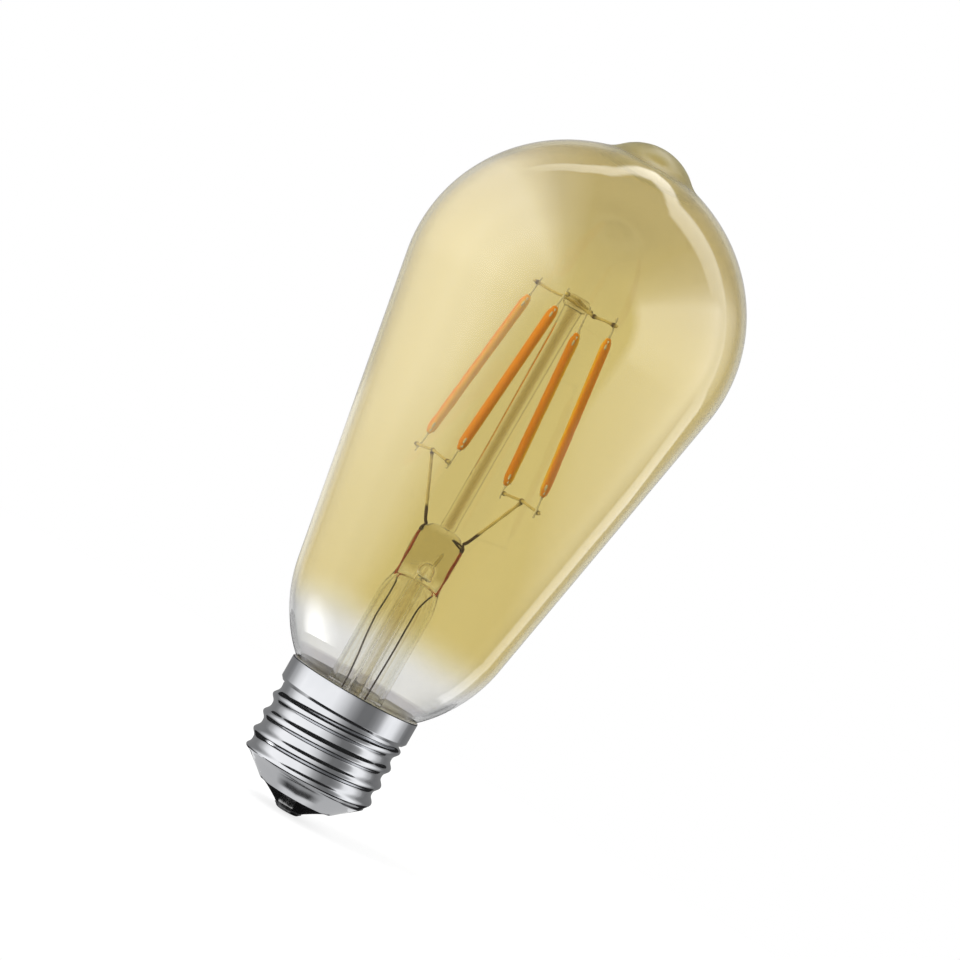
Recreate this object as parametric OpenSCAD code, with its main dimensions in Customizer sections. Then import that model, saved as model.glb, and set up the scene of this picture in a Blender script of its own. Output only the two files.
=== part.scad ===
// Filament LED lamp with a pear shaped amber glass, a wireless driver and an E27 screw cap.
// The origin is the middle of the centre contact's underside, and +Z runs up to the glass tip.

/* [Glass bulb] */
// Widest diameter of the glass
glass_d = 65.5; // [58:0.5:74]
// Wall of the glass
glass_wall = 0.9; // [0.6:0.1:1.5]
// Height of the widest ring above the rim of the cap
widest_h = 81; // [72:0.5:92]
// Height of the crown above the widest ring
crown_rise = 31.5; // [27:0.5:36]
// Half angle of the tapered body
body_angle = 10.2; // [8:0.1:11.5]
// Radius of the shoulder that turns the body in to the throat
shoulder_r = 29; // [20:0.5:36]
// Diameter of the throat, just above the rim of the cap
throat_d = 26.8; // [26.4:0.1:28]
// Diameter of the neck inside the cap
neck_d = 22.6; // [21:0.1:23]
// Height of the tip above the crown
tip_rise = 3.1; // [1.5:0.1:6]
// Radius of the rounded tip
tip_r = 10.9; // [7:0.1:13]
// Radius of the fillet round the tip
tip_fillet = 7; // [2:0.1:9]

/* [Glass stem] */
// Height of the top of the press above the rim of the cap
stem_h = 34.4; // [28:0.2:42]
// Diameter of the flare tube
flare_d = 11.4; // [10:0.1:13]
// Wall of the flare tube
flare_wall = 0.9; // [0.6:0.1:1.2]
// Height of the flare from its rim up to the straight tube
flare_h = 6; // [3:0.2:9]
// Thickness of the flare's rim under the neck
flare_rim = 0.9; // [0.6:0.1:1.5]
// Thickness of the closed end of the flare tube
flare_end = 2.6; // [1.6:0.1:3.5]
// Height of the flat press
press_h = 10.6; // [8:0.1:14]
// Glass of the press outside each dumet wire
press_side = 0.55; // [0.3:0.05:1]
// Thickness of the flat press
press_t = 4.2; // [3.9:0.1:6]
// Radius of the press's top corners
press_round = 4.2; // [2:0.1:4.4]
// Diameter of the exhaust tube
exhaust_d = 3.2; // [2.6:0.1:4.4]
// Wall of the exhaust tube
exhaust_wall = 0.7; // [0.4:0.1:0.9]
// Diameter of the blown hole that the exhaust tube opens into
exhaust_hole_d = 3.4; // [2:0.1:3.8]
// How far the sealed end of the exhaust tube hangs below the flare's rim
exhaust_drop = 3; // [1:0.2:4]
// Diameter of the arbor rod
arbor_d = 3.2; // [2.6:0.1:4]
// Diameter of the bead on the arbor
bead_d = 4.8; // [4:0.1:6]
// Height of the bead
bead_h = 2.6; // [2.2:0.1:4]

/* [Wires] */
// Diameter of the cross wires that the filaments are welded to
cross_d = 0.55; // [0.4:0.05:0.7]
// Length of a cross wire past its weld
cross_end = 0.9; // [0.4:0.1:1.5]
// Diameter of the lead-in wires
lead_d = 0.7; // [0.5:0.05:0.9]
// Diameter of the dumet wires sealed in the press
dumet_d = 0.5; // [0.3:0.05:0.8]
// Gap between an outer lead and the wall of the flare tube
lead_clear = 0.5; // [0.2:0.05:0.6]
// Diameter of the outer leads that run down to the driver
outer_lead_d = 0.35; // [0.25:0.05:0.6]
// Height of the lower cross wires above the press
lower_wire_h = 10.9; // [8:0.1:13]

/* [Filaments] */
// Radius of the ring of welds on the lower cross wires
lower_ring_r = 13.7; // [11:0.1:15.5]
// Radius of the ring of welds on the upper cross wires
upper_ring_r = 8.55; // [7:0.1:10]
// Turn of the lower ring of welds about the axis
lower_turn = 24; // [15:0.5:30]
// Turn of the upper ring of welds about the axis
upper_turn = 18.3; // [12:0.1:26]
// Length of the phosphor coat
coat_len = 32; // [26:0.5:36]
// Diameter of the phosphor coat
coat_d = 2; // [1.6:0.05:2.4]
// Length of the tapered end of the coat
coat_taper = 1.5; // [0.8:0.1:2.5]
// Width of the strip that carries the chips
strip_w = 0.9; // [0.7:0.05:1]
// Thickness of the strip that carries the chips
strip_t = 0.4; // [0.3:0.05:0.5]
// Number of light emitting chips on a filament
chip_count = 20; // [12:1:24]
// Length of one chip
chip_l = 0.8; // [0.5:0.05:0.9]
// Width of one chip
chip_w = 0.4; // [0.3:0.05:0.5]
// Height of one chip
chip_h = 0.15; // [0.1:0.01:0.2]
// Length of an end plate inside the coat
plate_in = 1.6; // [1:0.1:2.5]
// Thickness of an end plate
plate_t = 0.3; // [0.2:0.05:0.4]
// Diameter of the pin on an end plate
pin_d = 0.45; // [0.3:0.05:0.6]
// Length of a pin past its weld
pin_end = 1.2; // [0.5:0.1:2]
// Length of a pin from the coat to its weld
tail_len = 2.9; // [1.8:0.1:4]

/* [Screw cap] */
// Height of the cap from the centre contact to its rim
cap_h = 26.1; // [25:0.1:29]
// Diameter of the plain skirt
skirt_d = 26.6; // [26.4:0.1:28]
// Height of the plain skirt
skirt_h = 5.2; // [3.5:0.1:7]
// Crest diameter of the E27 thread
thread_d = 26.2; // [26.05:0.05:26.4]
// Depth of the thread
thread_depth = 0.85; // [0.7:0.05:0.95]
// Pitch of the thread, seven turns to the inch
thread_pitch = 3.629; // [3.6:0.001:3.65]
// Wall of the rolled shell
shell_wall = 0.35; // [0.25:0.05:0.5]
// Diameter of the black insulator where it leaves the shell
insulator_d = 15.4; // [13:0.1:17]
// Height of the insulator's outer edge above the contact
insulator_z = 3.4; // [2.8:0.1:4.2]
// Height of the sloped toe of the shell
toe_h = 3.8; // [3:0.1:4.6]
// Depth of the insulator inside the shell
insulator_in = 1.2; // [0.8:0.1:1.8]
// Diameter of the centre contact
contact_d = 5.6; // [4.8:0.1:8]
// Diameter of the contact's flat face
contact_flat_d = 4; // [3:0.1:4.4]
// Height of the contact below the insulator
contact_h = 0.85; // [0.6:0.05:1.4]
// Outer diameter of the contact's eyelet
eyelet_d = 2.4; // [2:0.1:3]
// Diameter of the live wire
live_d = 0.9; // [0.5:0.05:1.1]

/* [Driver] */
// Wall of the insulating liner
liner_wall = 0.5; // [0.3:0.05:0.8]
// Width of the liner's ledge under the board
ledge_w = 0.8; // [0.5:0.1:1.2]
// Height of the liner's ledge
ledge_h = 1.4; // [1:0.1:1.8]
// Thickness of the driver board
board_t = 1; // [0.8:0.1:1.2]
// Room over the driver board, up to the glass seal
driver_room = 6.6; // [5.6:0.1:8]
// Diameter of the storage capacitor
capacitor_d = 5; // [4:0.1:5.2]
// Length of the storage capacitor
capacitor_len = 9.5; // [7:0.1:10.5]
// Distance of the storage capacitor from the axis
capacitor_y = 6.6; // [6.2:0.1:6.8]
// Diameter of the inductor's core
inductor_d = 6.2; // [5:0.1:6.6]
// Height of the inductor's core
inductor_h = 4.6; // [3.6:0.1:5]
// Thickness of a flange of the inductor's core
inductor_flange = 0.8; // [0.5:0.1:1.2]
// Diameter of the inductor's waist inside the winding
inductor_waist = 2.6; // [2:0.1:3.4]
// Length of the radio board
radio_len = 10.2; // [8:0.1:10.6]
// Height of the radio board
radio_h = 5; // [4:0.1:5.4]
// Thickness of the radio board
radio_t = 0.8; // [0.6:0.1:1]
// Side of the square radio chip
radio_chip_w = 3; // [2:0.1:3.6]
// Height of the radio chip on its board
radio_chip_h = 0.9; // [0.6:0.1:1.2]
// Width of the antenna track
track_w = 0.4; // [0.3:0.05:0.5]
// Thickness of the antenna track
track_t = 0.06; // [0.04:0.01:0.1]
// Number of fingers in the antenna track
track_fingers = 5; // [3:1:6]
// Size of the bridge rectifier
rectifier_size = [4.7, 3.9, 1.8];
// Size of the driver chip
driver_chip_size = [4.9, 3.9, 1.5];
// Diameter of the fusible resistor
fuse_d = 2.2; // [1.6:0.1:2.4]
// Length of the fusible resistor
fuse_len = 6; // [4:0.1:7]
// Size of one small chip resistor or capacitor
passive_size = [0.8, 1.6, 0.6];
// Number of small chip resistors and capacitors
passive_count = 5; // [3:1:6]
// Diameter of the neutral wire
neutral_d = 0.6; // [0.4:0.05:0.8]

/* [Fits] */
// Gap between two seated parts
seat_gap = 0.05; // [0.03:0.01:0.1]
// Gap round a wire in its bore
wire_gap = 0.02; // [0.01:0.01:0.05]
// Gap between the throat of the glass and the rim of the cap
rim_gap = 0.15; // [0.1:0.05:0.4]
// Gap between the liner and the shell
liner_gap = 0.15; // [0.1:0.05:0.3]

/* [Hidden] */
$fn = 64;
// How far a cut runs past the face that it opens
cut_over = 1;

glass_colour = [0.85, 0.74, 0.38, 0.45];
stem_colour = [0.85, 0.88, 0.82, 0.6];
metal_colour = "silver";
wire_colour = "dimgray";
board_colour = "darkgreen";
package_colour = [0.12, 0.12, 0.13];

// Cap radii and heights
skirt_r = skirt_d / 2;
skirt_in_r = skirt_r - shell_wall;
root_r = thread_d / 2 - thread_depth;
shell_in_r = root_r - shell_wall;
insulator_r = insulator_d / 2;
skirt_z = cap_h - skirt_h;
toe_z = insulator_z + toe_h;
toe_slope = (root_r - insulator_r) / toe_h;
skirt_step = 0.4;
contact_r = contact_d / 2;
insulator_top = insulator_z + insulator_in;

// Thread form: the crest is narrower than the root, and both ends fade out
crest_power = 1.6;
thread_phase = 0.45;
thread_run_in = 0.7;
thread_run_out = 0.9;
shell_steps = 48;
rows_per_pitch = 8;

// Driver heights
liner_r = shell_in_r - liner_gap;
liner_foot = insulator_z + (liner_r + shell_wall - insulator_r) / toe_slope + seat_gap;
board_z = liner_foot + ledge_h;
board_top = board_z + board_t;
board_r = liner_r - liner_wall - seat_gap;
liner_top = board_top + driver_room;

// Glass heights and radii
glass_r = glass_d / 2;
neck_r = neck_d / 2;
throat_r = throat_d / 2;
throat_z = cap_h + rim_gap + throat_r - skirt_in_r;
seal_z = liner_top + seat_gap + flare_rim;
widest_z = cap_h + widest_h;
crown_z = widest_z + crown_rise;
top_z = crown_z + tip_rise;

// The body line touches the elliptical dome here
dome_start = -atan(crown_rise / glass_r * tan(body_angle));
dome_foot = [glass_r * cos(dome_start), widest_z + crown_rise * sin(dome_start)];
body_dir = [sin(body_angle), cos(body_angle)];
body_in = [-cos(body_angle), sin(body_angle)];

// The shoulder arc passes through the throat and touches the body line
throat = [throat_r, throat_z];
shoulder_offset = dome_foot + shoulder_r * body_in - throat;
shoulder_along = shoulder_offset * body_dir;
shoulder_off_line = shoulder_offset * body_in;
shoulder_reach = sqrt(shoulder_r * shoulder_r - shoulder_off_line * shoulder_off_line);
shoulder_c = dome_foot + shoulder_r * body_in + (shoulder_reach - shoulder_along) * body_dir;
throat_angle = atan2(throat[1] - shoulder_c[1], throat[0] - shoulder_c[0]);

// The tip is a ball, blended into the crown's own circle by a fillet
crown_r = glass_r * glass_r / crown_rise;
crown_c = crown_z - crown_r;
tip_c = top_z - tip_r;
tip_span = tip_c - crown_c;
fillet_far = crown_r + tip_fillet;
fillet_near = tip_r + tip_fillet;
fillet_up = (fillet_far * fillet_far - fillet_near * fillet_near + tip_span * tip_span) / (2 * tip_span);
fillet_out = sqrt(fillet_far * fillet_far - fillet_up * fillet_up);
crown_turn = atan2(fillet_out, fillet_up);
tip_turn = atan2(fillet_out, fillet_up - tip_span);
dome_end = acos(crown_r * sin(crown_turn) / glass_r);

// Stem heights
press_top = cap_h + stem_h;
press_foot = press_top - press_h;
flare_ceiling = press_foot - flare_end;
flare_r = flare_d / 2;
flare_in_r = flare_r - flare_wall;
exhaust_bore = exhaust_d / 2 - exhaust_wall;
exhaust_foot = seal_z - flare_rim - exhaust_drop;
exhaust_hole_z = press_foot + exhaust_hole_d / 2;

// The press is wide enough to hold the dumet wires, which line up with the outer leads
dumet_x = flare_in_r - lead_clear - outer_lead_d / 2;
press_w = 2 * (dumet_x + dumet_d / 2 + press_side);
press_shoulder = press_top - press_round;
press_corner_x = press_w / 2 - press_round;
dumet_bare = 0.4;
dumet_foot = flare_ceiling - dumet_bare;
dumet_top = press_edge(dumet_x - lead_d / 2) + wire_gap;

// Wire heights
lower_z = press_top + lower_wire_h;
weld_span = coat_len + 2 * tail_len;
ring_shift = norm(on_ring(lower_ring_r, lower_turn, 0) - on_ring(upper_ring_r, upper_turn, 0));
upper_z = lower_z + sqrt(weld_span * weld_span - ring_shift * ring_shift);
arbor_top = upper_z - bead_h / 2;
cross_lift = (cross_d + seat_gap) / 2;
weld_offset = (pin_d + cross_d) / 2 + wire_gap;
knee_rise = 1.2;
lead_foot = [dumet_x, 0, dumet_top];
knee = [dumet_x, 0, dumet_top + knee_rise];
// Sine of the steepest lean of a lead-in wire, for the room that its square end needs
lead_lean = 0.5;
bend_r = 1.5;
bend_steps = 6;
wire_sides = 16;

// Where the filaments are welded, counted from the left of the photo's view
weld_angles = [180, 270, 90, 360];
// How far each filament sits below the middle of its span
filament_drop = [0, 0, 1.4, 0];
coat_end_r = 0.55;
plate_out = 0.3;

// Driver places
outer_lead_x = 2.3;
outer_lead_y = -(exhaust_d / 2 + 0.6);
inductor_at = [6.1, 4];
radio_x = -6.5;
radio_y = -3;
rectifier_at = [-4.6, 3.4];
driver_chip_at = [4.3, 3.2];
fuse_y = -4.6;
passive_y = 7;
passive_step = 1.3;
neutral_angle = 200;
neutral_in_r = board_r - 1.4;
neutral_z = board_top + neutral_d / 2;

// Points on an arc in the plane of a profile
function arc(c, r, a0, a1, n) =
    [for (i = [0 : n]) c + r * [cos(a0 + (a1 - a0) * i / n), sin(a0 + (a1 - a0) * i / n)]];

// Unit normal on the left of the way from a to b
function left_normal(a, b) = [a[1] - b[1], b[0] - a[0]] / norm(b - a);

// A path moved to its left by w, with mitred corners
function inset(p, w) = [
    for (i = [0 : len(p) - 1])
    let (last = len(p) - 1)
    let (before = left_normal(p[max(i - 1, 0)], p[max(i, 1)]))
    let (after = left_normal(p[min(i, last - 1)], p[min(i + 1, last)]))
    let (sum = before + after)
    p[i] + 2 * w * sum / (sum * sum)
];

// Height of the top of the press at a distance from the axis
function press_edge(x) =
    press_shoulder + sqrt(press_round * press_round - pow(max(x - press_corner_x, 0), 2));

function without_first(p) = [for (i = [1 : len(p) - 1]) p[i]];
function reversed(p) = [for (i = [len(p) - 1 : -1 : 0]) p[i]];

// A point on a ring of welds
function on_ring(r, turn, z) = [r * cos(turn), r * sin(turn), z];
function lower_weld(i) = on_ring(lower_ring_r, weld_angles[i] - lower_turn, lower_z);
function upper_weld(i) = on_ring(upper_ring_r, weld_angles[i] - upper_turn, upper_z);
function flat_unit(v) = [v[0], v[1], 0] / norm([v[0], v[1]]);
function side_of(v) = [v[1], -v[0], 0];

// Outer radius of the rolled shell at a height and an angle
function crest(u) = pow((1 + cos(360 * u)) / 2, crest_power);
function shell_plain(z) = lookup(z, [
    [insulator_z, insulator_r], [toe_z, root_r], [skirt_z, root_r],
    [skirt_z + skirt_step, skirt_r], [cap_h, skirt_r]
]);
function thread_fade(z) = lookup(z, [
    [toe_z - thread_run_in, 0], [toe_z + thread_run_in, 1],
    [skirt_z - thread_run_out, 1], [skirt_z, 0]
]);
function shell_r(z, a) =
    shell_plain(z) + thread_depth * thread_fade(z) * crest(z / thread_pitch - a / 360 - thread_phase);

// A rod from p to q
module rod(p, q, d) {
    v = q - p;
    translate(p)
        rotate([0, acos(v[2] / norm(v)), atan2(v[1], v[0])])
            cylinder(h = norm(v), d = d);
}

// A wire from p to q by way of k, where it turns in an arc: a tube swept through rings
module bent_wire(p, k, q, d) {
    u = (k - p) / norm(k - p);
    w = (q - k) / norm(q - k);
    turn = acos(u * w);
    n = (w - (u * w) * u) / sin(turn);
    b = cross(u, n);
    c = k - bend_r * tan(turn / 2) * u + bend_r * n;
    arc_angles = [for (i = [0 : bend_steps]) turn * i / bend_steps];
    centres = concat([p], [for (t = arc_angles) c + bend_r * (sin(t) * u - cos(t) * n)], [q]);
    normals = concat([n], [for (t = arc_angles) cos(t) * n - sin(t) * u], [(u * w) * n - sin(turn) * u]);
    last = len(centres) - 1;
    points = [
        for (i = [0 : last])
        for (j = [0 : wire_sides - 1])
        centres[i] + d / 2 * (cos(360 * j / wire_sides) * normals[i] + sin(360 * j / wire_sides) * b)
    ];
    walls = [
        for (i = [0 : last - 1])
        for (j = [0 : wire_sides - 1])
        let (here = i * wire_sides)
        let (next = (j + 1) % wire_sides)
        each [
            [here + j, here + wire_sides + next, here + next],
            [here + j, here + wire_sides + j, here + wire_sides + next]
        ]
    ];
    ends = [
        for (j = [1 : wire_sides - 2])
        each [[0, j, j + 1], [last * wire_sides, last * wire_sides + j + 1, last * wire_sides + j]]
    ];
    polyhedron(points = points, faces = concat(walls, ends));
}

// Children turned onto a filament's line, with their origin at the middle of its coat
module on_filament(i) {
    v = upper_weld(i) - lower_weld(i);
    translate((upper_weld(i) + lower_weld(i)) / 2)
        rotate([0, acos(v[2] / norm(v)), atan2(v[1], v[0])])
            translate([0, 0, -filament_drop[i]])
                children();
}

glass_outside = concat(
    [[neck_r, seal_z], [neck_r, throat_z - (throat_r - neck_r)]],
    arc(shoulder_c, shoulder_r, throat_angle, -body_angle, 10),
    [for (i = [0 : 18]) let (t = dome_start + (dome_end - dome_start) * i / 18)
        [glass_r * cos(t), widest_z + crown_rise * sin(t)]],
    without_first(arc([fillet_out, crown_c + fillet_up], tip_fillet, 270 - crown_turn, 270 - tip_turn, 5)),
    without_first(arc([0, tip_c], tip_r, 90 - tip_turn, 90, 6))
);

module glass_envelope() {
    inside = inset(glass_outside, glass_wall);
    last = len(inside) - 1;
    capped = concat([for (i = [0 : last - 1]) inside[i]], [[0, top_z - glass_wall]]);
    color(glass_colour)
        rotate_extrude() polygon(concat(glass_outside, reversed(capped)));
}

module stem_flare() {
    mouth_r = neck_r - glass_wall - seat_gap;
    color(stem_colour)
        difference() {
            union() {
                rotate_extrude()
                    polygon(concat(
                        [[mouth_r - flare_wall, seal_z - flare_rim], [neck_r, seal_z - flare_rim],
                         [neck_r, seal_z], [mouth_r, seal_z], [flare_r, seal_z + flare_h]],
                        arc([flare_r - flare_end, flare_ceiling], flare_end, 0, 90, 8),
                        [[0, press_foot], [0, flare_ceiling], [flare_in_r, flare_ceiling],
                         [flare_in_r, seal_z + flare_h]]
                    ));
                press_block();
            }
            for (side = [-1, 1])
                translate([side * dumet_x, 0, flare_ceiling - cut_over])
                    cylinder(h = press_h + flare_end + 2 * cut_over, d = dumet_d + 2 * wire_gap);
            translate([0, 0, flare_ceiling - cut_over])
                cylinder(h = exhaust_hole_z - flare_ceiling + cut_over, r = exhaust_bore);
            translate([0, 0, exhaust_hole_z])
                rotate([90, 0, 0]) cylinder(h = press_t, d = exhaust_hole_d);
        }
}

// The flat press, with its two top corners rounded
module press_block() {
    press_low = press_foot - flare_end / 2;
    translate([0, press_t / 2, 0])
        rotate([90, 0, 0])
            linear_extrude(press_t)
                polygon(concat(
                    [[-press_w / 2, press_low], [press_w / 2, press_low]],
                    arc([press_corner_x, press_shoulder], press_round, 0, 90, 8),
                    arc([-press_corner_x, press_shoulder], press_round, 90, 180, 8)
                ));
}

module exhaust_tube() {
    tube_r = exhaust_d / 2;
    color(stem_colour)
        rotate_extrude()
            polygon(concat(
                arc([0, exhaust_foot + tube_r], tube_r, -90, 0, 10),
                [[tube_r, flare_ceiling], [exhaust_bore, flare_ceiling]],
                arc([0, exhaust_foot + tube_r], exhaust_bore, 0, -90, 10)
            ));
}

module arbor_rod() {
    color(stem_colour)
        translate([0, 0, press_top]) cylinder(h = arbor_top - press_top, d = arbor_d);
}

module arbor_bead() {
    edge = bead_h / 4;
    color(stem_colour)
        difference() {
            rotate_extrude()
                polygon(concat(
                    [[0, arbor_top]],
                    arc([bead_d / 2 - edge, arbor_top + edge], edge, -90, 0, 6),
                    arc([bead_d / 2 - edge, arbor_top + bead_h - edge], edge, 0, 90, 6),
                    [[0, arbor_top + bead_h]]
                ));
            upper_cross_wire(0, 3, -cross_lift, 2 * wire_gap);
            upper_cross_wire(1, 2, cross_lift, 2 * wire_gap);
        }
}

// A straight wire that runs past the welds of two opposite filaments
module upper_cross_wire(i, j, lift, extra_d) {
    run = flat_unit(upper_weld(j) - upper_weld(i));
    shift = weld_offset * side_of(run) + [0, 0, lift];
    rod(upper_weld(i) + shift - cross_end * run, upper_weld(j) + shift + cross_end * run, cross_d + extra_d);
}

// A straight wire that runs outside the welds of two neighbouring filaments
module lower_cross_wire(i, j) {
    run = flat_unit(lower_weld(j) - lower_weld(i));
    shift = weld_offset * side_of(run);
    color(wire_colour)
        rod(lower_weld(i) + shift - cross_end * run, lower_weld(j) + shift + cross_end * run, cross_d);
}

// The right lead-in wire, which ends under the middle of its cross wire
module lead_in_wire() {
    run = flat_unit(lower_weld(2) - lower_weld(3));
    middle = (lower_weld(2) + lower_weld(3)) / 2 + weld_offset * side_of(run);
    end = middle - [0, 0, cross_d / 2 + lead_lean * lead_d / 2 + wire_gap];
    color(wire_colour) bent_wire(lead_foot, knee, end, lead_d);
}

module dumet_wire() {
    color("firebrick")
        translate([dumet_x, 0, dumet_foot]) cylinder(h = dumet_top - dumet_foot, d = dumet_d);
}

// The right outer lead, from the press down past the exhaust tube to the board
module outer_lead() {
    top = [dumet_x, 0, dumet_foot - seat_gap];
    bend = [outer_lead_x, outer_lead_y, cap_h];
    foot = [outer_lead_x, outer_lead_y, board_top];
    color(wire_colour) bent_wire(top, bend, foot, outer_lead_d);
}

module filament_coat(i) {
    coat_r = coat_d / 2;
    half = coat_len / 2;
    color([0.85, 0.5, 0.16])
        on_filament(i)
            difference() {
                rotate_extrude()
                    polygon([
                        [0, -half], [coat_end_r, -half], [coat_r, coat_taper - half],
                        [coat_r, half - coat_taper], [coat_end_r, half], [0, half]
                    ]);
                strip_block();
                chip_row();
                end_tabs(i);
            }
}

module filament_strip(i) {
    color("whitesmoke") on_filament(i) strip_block();
}

module filament_chips(i) {
    color("gold") on_filament(i) chip_row();
}

module filament_tabs(i) {
    color(metal_colour) on_filament(i) end_tabs(i);
}

module strip_block() {
    cube([strip_t, strip_w, coat_len - 2 * plate_in], center = true);
}

module chip_row() {
    step = (coat_len - 2 * plate_in) / chip_count;
    for (n = [0 : chip_count - 1])
        translate([-(strip_t + chip_h) / 2, 0, (n - (chip_count - 1) / 2) * step])
            cube([chip_h, chip_w, chip_l], center = true);
}

// The two metal ends of a filament: a flat plate in the coat, and a pin past the weld
module end_tabs(i) {
    half = coat_len / 2;
    for (end = [0, 1])
        mirror([0, 0, 1 - end]) {
            translate([-plate_t / 2, -strip_w / 2, half - plate_in])
                cube([plate_t, strip_w, plate_in + plate_out]);
            translate([0, 0, half])
                cylinder(h = tail_len + pin_end + (2 * end - 1) * filament_drop[i], d = pin_d);
        }
}

// The rolled shell, as rings that run up the outside and down the inside
module screw_shell() {
    thread_rows = ceil((skirt_z - toe_z) / thread_pitch * rows_per_pitch);
    heights = concat(
        [for (i = [0 : 2]) insulator_z + toe_h * i / 3],
        [for (i = [0 : thread_rows]) toe_z + (skirt_z - toe_z) * i / thread_rows],
        [skirt_z + skirt_step, cap_h]
    );
    rows = len(heights);
    rings = 2 * rows;
    points = [
        for (k = [0 : rings - 1])
        let (z = heights[k < rows ? k : rings - 1 - k])
        for (j = [0 : shell_steps - 1])
        let (a = 360 * j / shell_steps)
        let (r = shell_r(z, a) - (k < rows ? 0 : shell_wall))
        [r * cos(a), r * sin(a), z]
    ];
    faces = [
        for (k = [0 : rings - 1])
        for (j = [0 : shell_steps - 1])
        let (up = (k + 1) % rings * shell_steps)
        let (here = k * shell_steps)
        let (next = (j + 1) % shell_steps)
        each [[here + j, up + j, up + next], [here + j, up + next, here + next]]
    ];
    color(metal_colour) polyhedron(points = points, faces = faces);
}

module cap_insulator() {
    edge_r = insulator_r - shell_wall - seat_gap;
    contact_seat_r = contact_r + seat_gap;
    waist = [(insulator_r + contact_r) / 2, contact_h + (insulator_z - contact_h) * 0.42];
    color("black")
        rotate_extrude()
            polygon([
                [eyelet_d / 2 + seat_gap, contact_h + seat_gap], [contact_seat_r, contact_h + seat_gap],
                waist, [edge_r, insulator_z],
                [edge_r + toe_slope * insulator_in, insulator_top],
                [eyelet_d / 2 + seat_gap, insulator_top]
            ]);
}

module centre_contact() {
    flat_r = contact_flat_d / 2;
    bore_r = live_d / 2 + wire_gap;
    color("dimgray")
        rotate_extrude()
            polygon([
                [0, 0], [flat_r, 0], [contact_r, contact_h * 0.7], [contact_r, contact_h],
                [eyelet_d / 2, contact_h], [eyelet_d / 2, insulator_top],
                [bore_r, insulator_top], [bore_r, contact_h], [0, contact_h]
            ]);
}

module basing_cement() {
    cement_foot = skirt_z + skirt_step;
    cement_top = throat_z - (throat_r - neck_r);
    color("tan")
        rotate_extrude()
            polygon([
                [neck_r + seat_gap, cement_foot], [skirt_in_r - seat_gap, cement_foot],
                [skirt_in_r - seat_gap, cement_top], [neck_r + seat_gap, cement_top]
            ]);
}

module driver_liner() {
    slot = neutral_d + 2 * seat_gap;
    color("ivory")
        difference() {
            translate([0, 0, liner_foot]) cylinder(h = liner_top - liner_foot, r = liner_r);
            translate([0, 0, board_z]) cylinder(h = liner_top, r = liner_r - liner_wall);
            translate([0, 0, liner_foot - cut_over])
                cylinder(h = liner_top, r = liner_r - liner_wall - ledge_w);
            rotate([0, 0, neutral_angle])
                translate([0, -slot / 2, board_top]) cube([2 * liner_r, slot, slot]);
        }
}

module driver_board() {
    color(board_colour)
        translate([0, 0, board_z]) cylinder(h = board_t, r = board_r);
}

module live_wire() {
    color("firebrick")
        translate([0, 0, contact_h]) cylinder(h = board_z - contact_h, d = live_d);
}

module neutral_wire() {
    reach = shell_r(neutral_z, neutral_angle) - shell_wall - neutral_d / 2;
    color("steelblue")
        rotate([0, 0, neutral_angle])
            translate([neutral_in_r, 0, neutral_z])
                rotate([0, 90, 0]) cylinder(h = reach - neutral_in_r, d = neutral_d);
}

// A flat package that hangs under the board
module under_board(at, size) {
    translate([at[0] - size[0] / 2, at[1] - size[1] / 2, board_z - size[2]]) cube(size);
}

module bridge_rectifier() {
    color(package_colour) under_board(rectifier_at, rectifier_size);
}

module driver_chip() {
    color(package_colour) under_board(driver_chip_at, driver_chip_size);
}

module fuse_resistor() {
    color("palegreen")
        translate([-fuse_len / 2, fuse_y, board_z - fuse_d / 2])
            rotate([0, 90, 0]) cylinder(h = fuse_len, d = fuse_d);
}

module chip_passives() {
    color("saddlebrown")
        for (n = [0 : passive_count - 1])
            under_board([(n - (passive_count - 1) / 2) * passive_step, passive_y], passive_size);
}

module storage_capacitor() {
    color("midnightblue")
        translate([-capacitor_len / 2, -capacitor_y, board_top + capacitor_d / 2])
            rotate([0, 90, 0]) cylinder(h = capacitor_len, d = capacitor_d);
}

module inductor_core() {
    color("dimgray")
        translate([inductor_at[0], inductor_at[1], board_top]) {
            cylinder(h = inductor_flange, d = inductor_d);
            cylinder(h = inductor_h, d = inductor_waist);
            translate([0, 0, inductor_h - inductor_flange]) cylinder(h = inductor_flange, d = inductor_d);
        }
}

module inductor_winding() {
    room = inductor_h - 2 * inductor_flange - 2 * seat_gap;
    color("peru")
        translate([inductor_at[0], inductor_at[1], board_top + inductor_flange + seat_gap])
            difference() {
                cylinder(h = room, d = inductor_d - 4 * seat_gap);
                translate([0, 0, -cut_over])
                    cylinder(h = room + 2 * cut_over, d = inductor_waist + 2 * seat_gap);
            }
}

module radio_board() {
    color(board_colour)
        translate([radio_x, radio_y, board_top]) cube([radio_t, radio_len, radio_h]);
}

module radio_chip() {
    color(package_colour)
        translate([radio_x + radio_t, radio_y + radio_chip_w, board_top + (radio_h - radio_chip_w) / 2])
            cube([radio_chip_h, radio_chip_w, radio_chip_w]);
}

// The folded antenna on the outer face of the radio board
module antenna_track() {
    finger_step = 2 * track_w;
    finger_h = radio_h - 2 * finger_step;
    start_y = radio_y + radio_len - 2 * track_fingers * track_w;
    color("goldenrod")
        translate([radio_x - track_t, start_y, board_top + finger_step])
            for (n = [0 : track_fingers - 1]) {
                translate([0, n * finger_step, 0]) cube([track_t, track_w, finger_h]);
                if (n < track_fingers - 1)
                    translate([0, n * finger_step, n % 2 == 0 ? finger_h - track_w : 0])
                        cube([track_t, finger_step + track_w, track_w]);
            }
}

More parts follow.
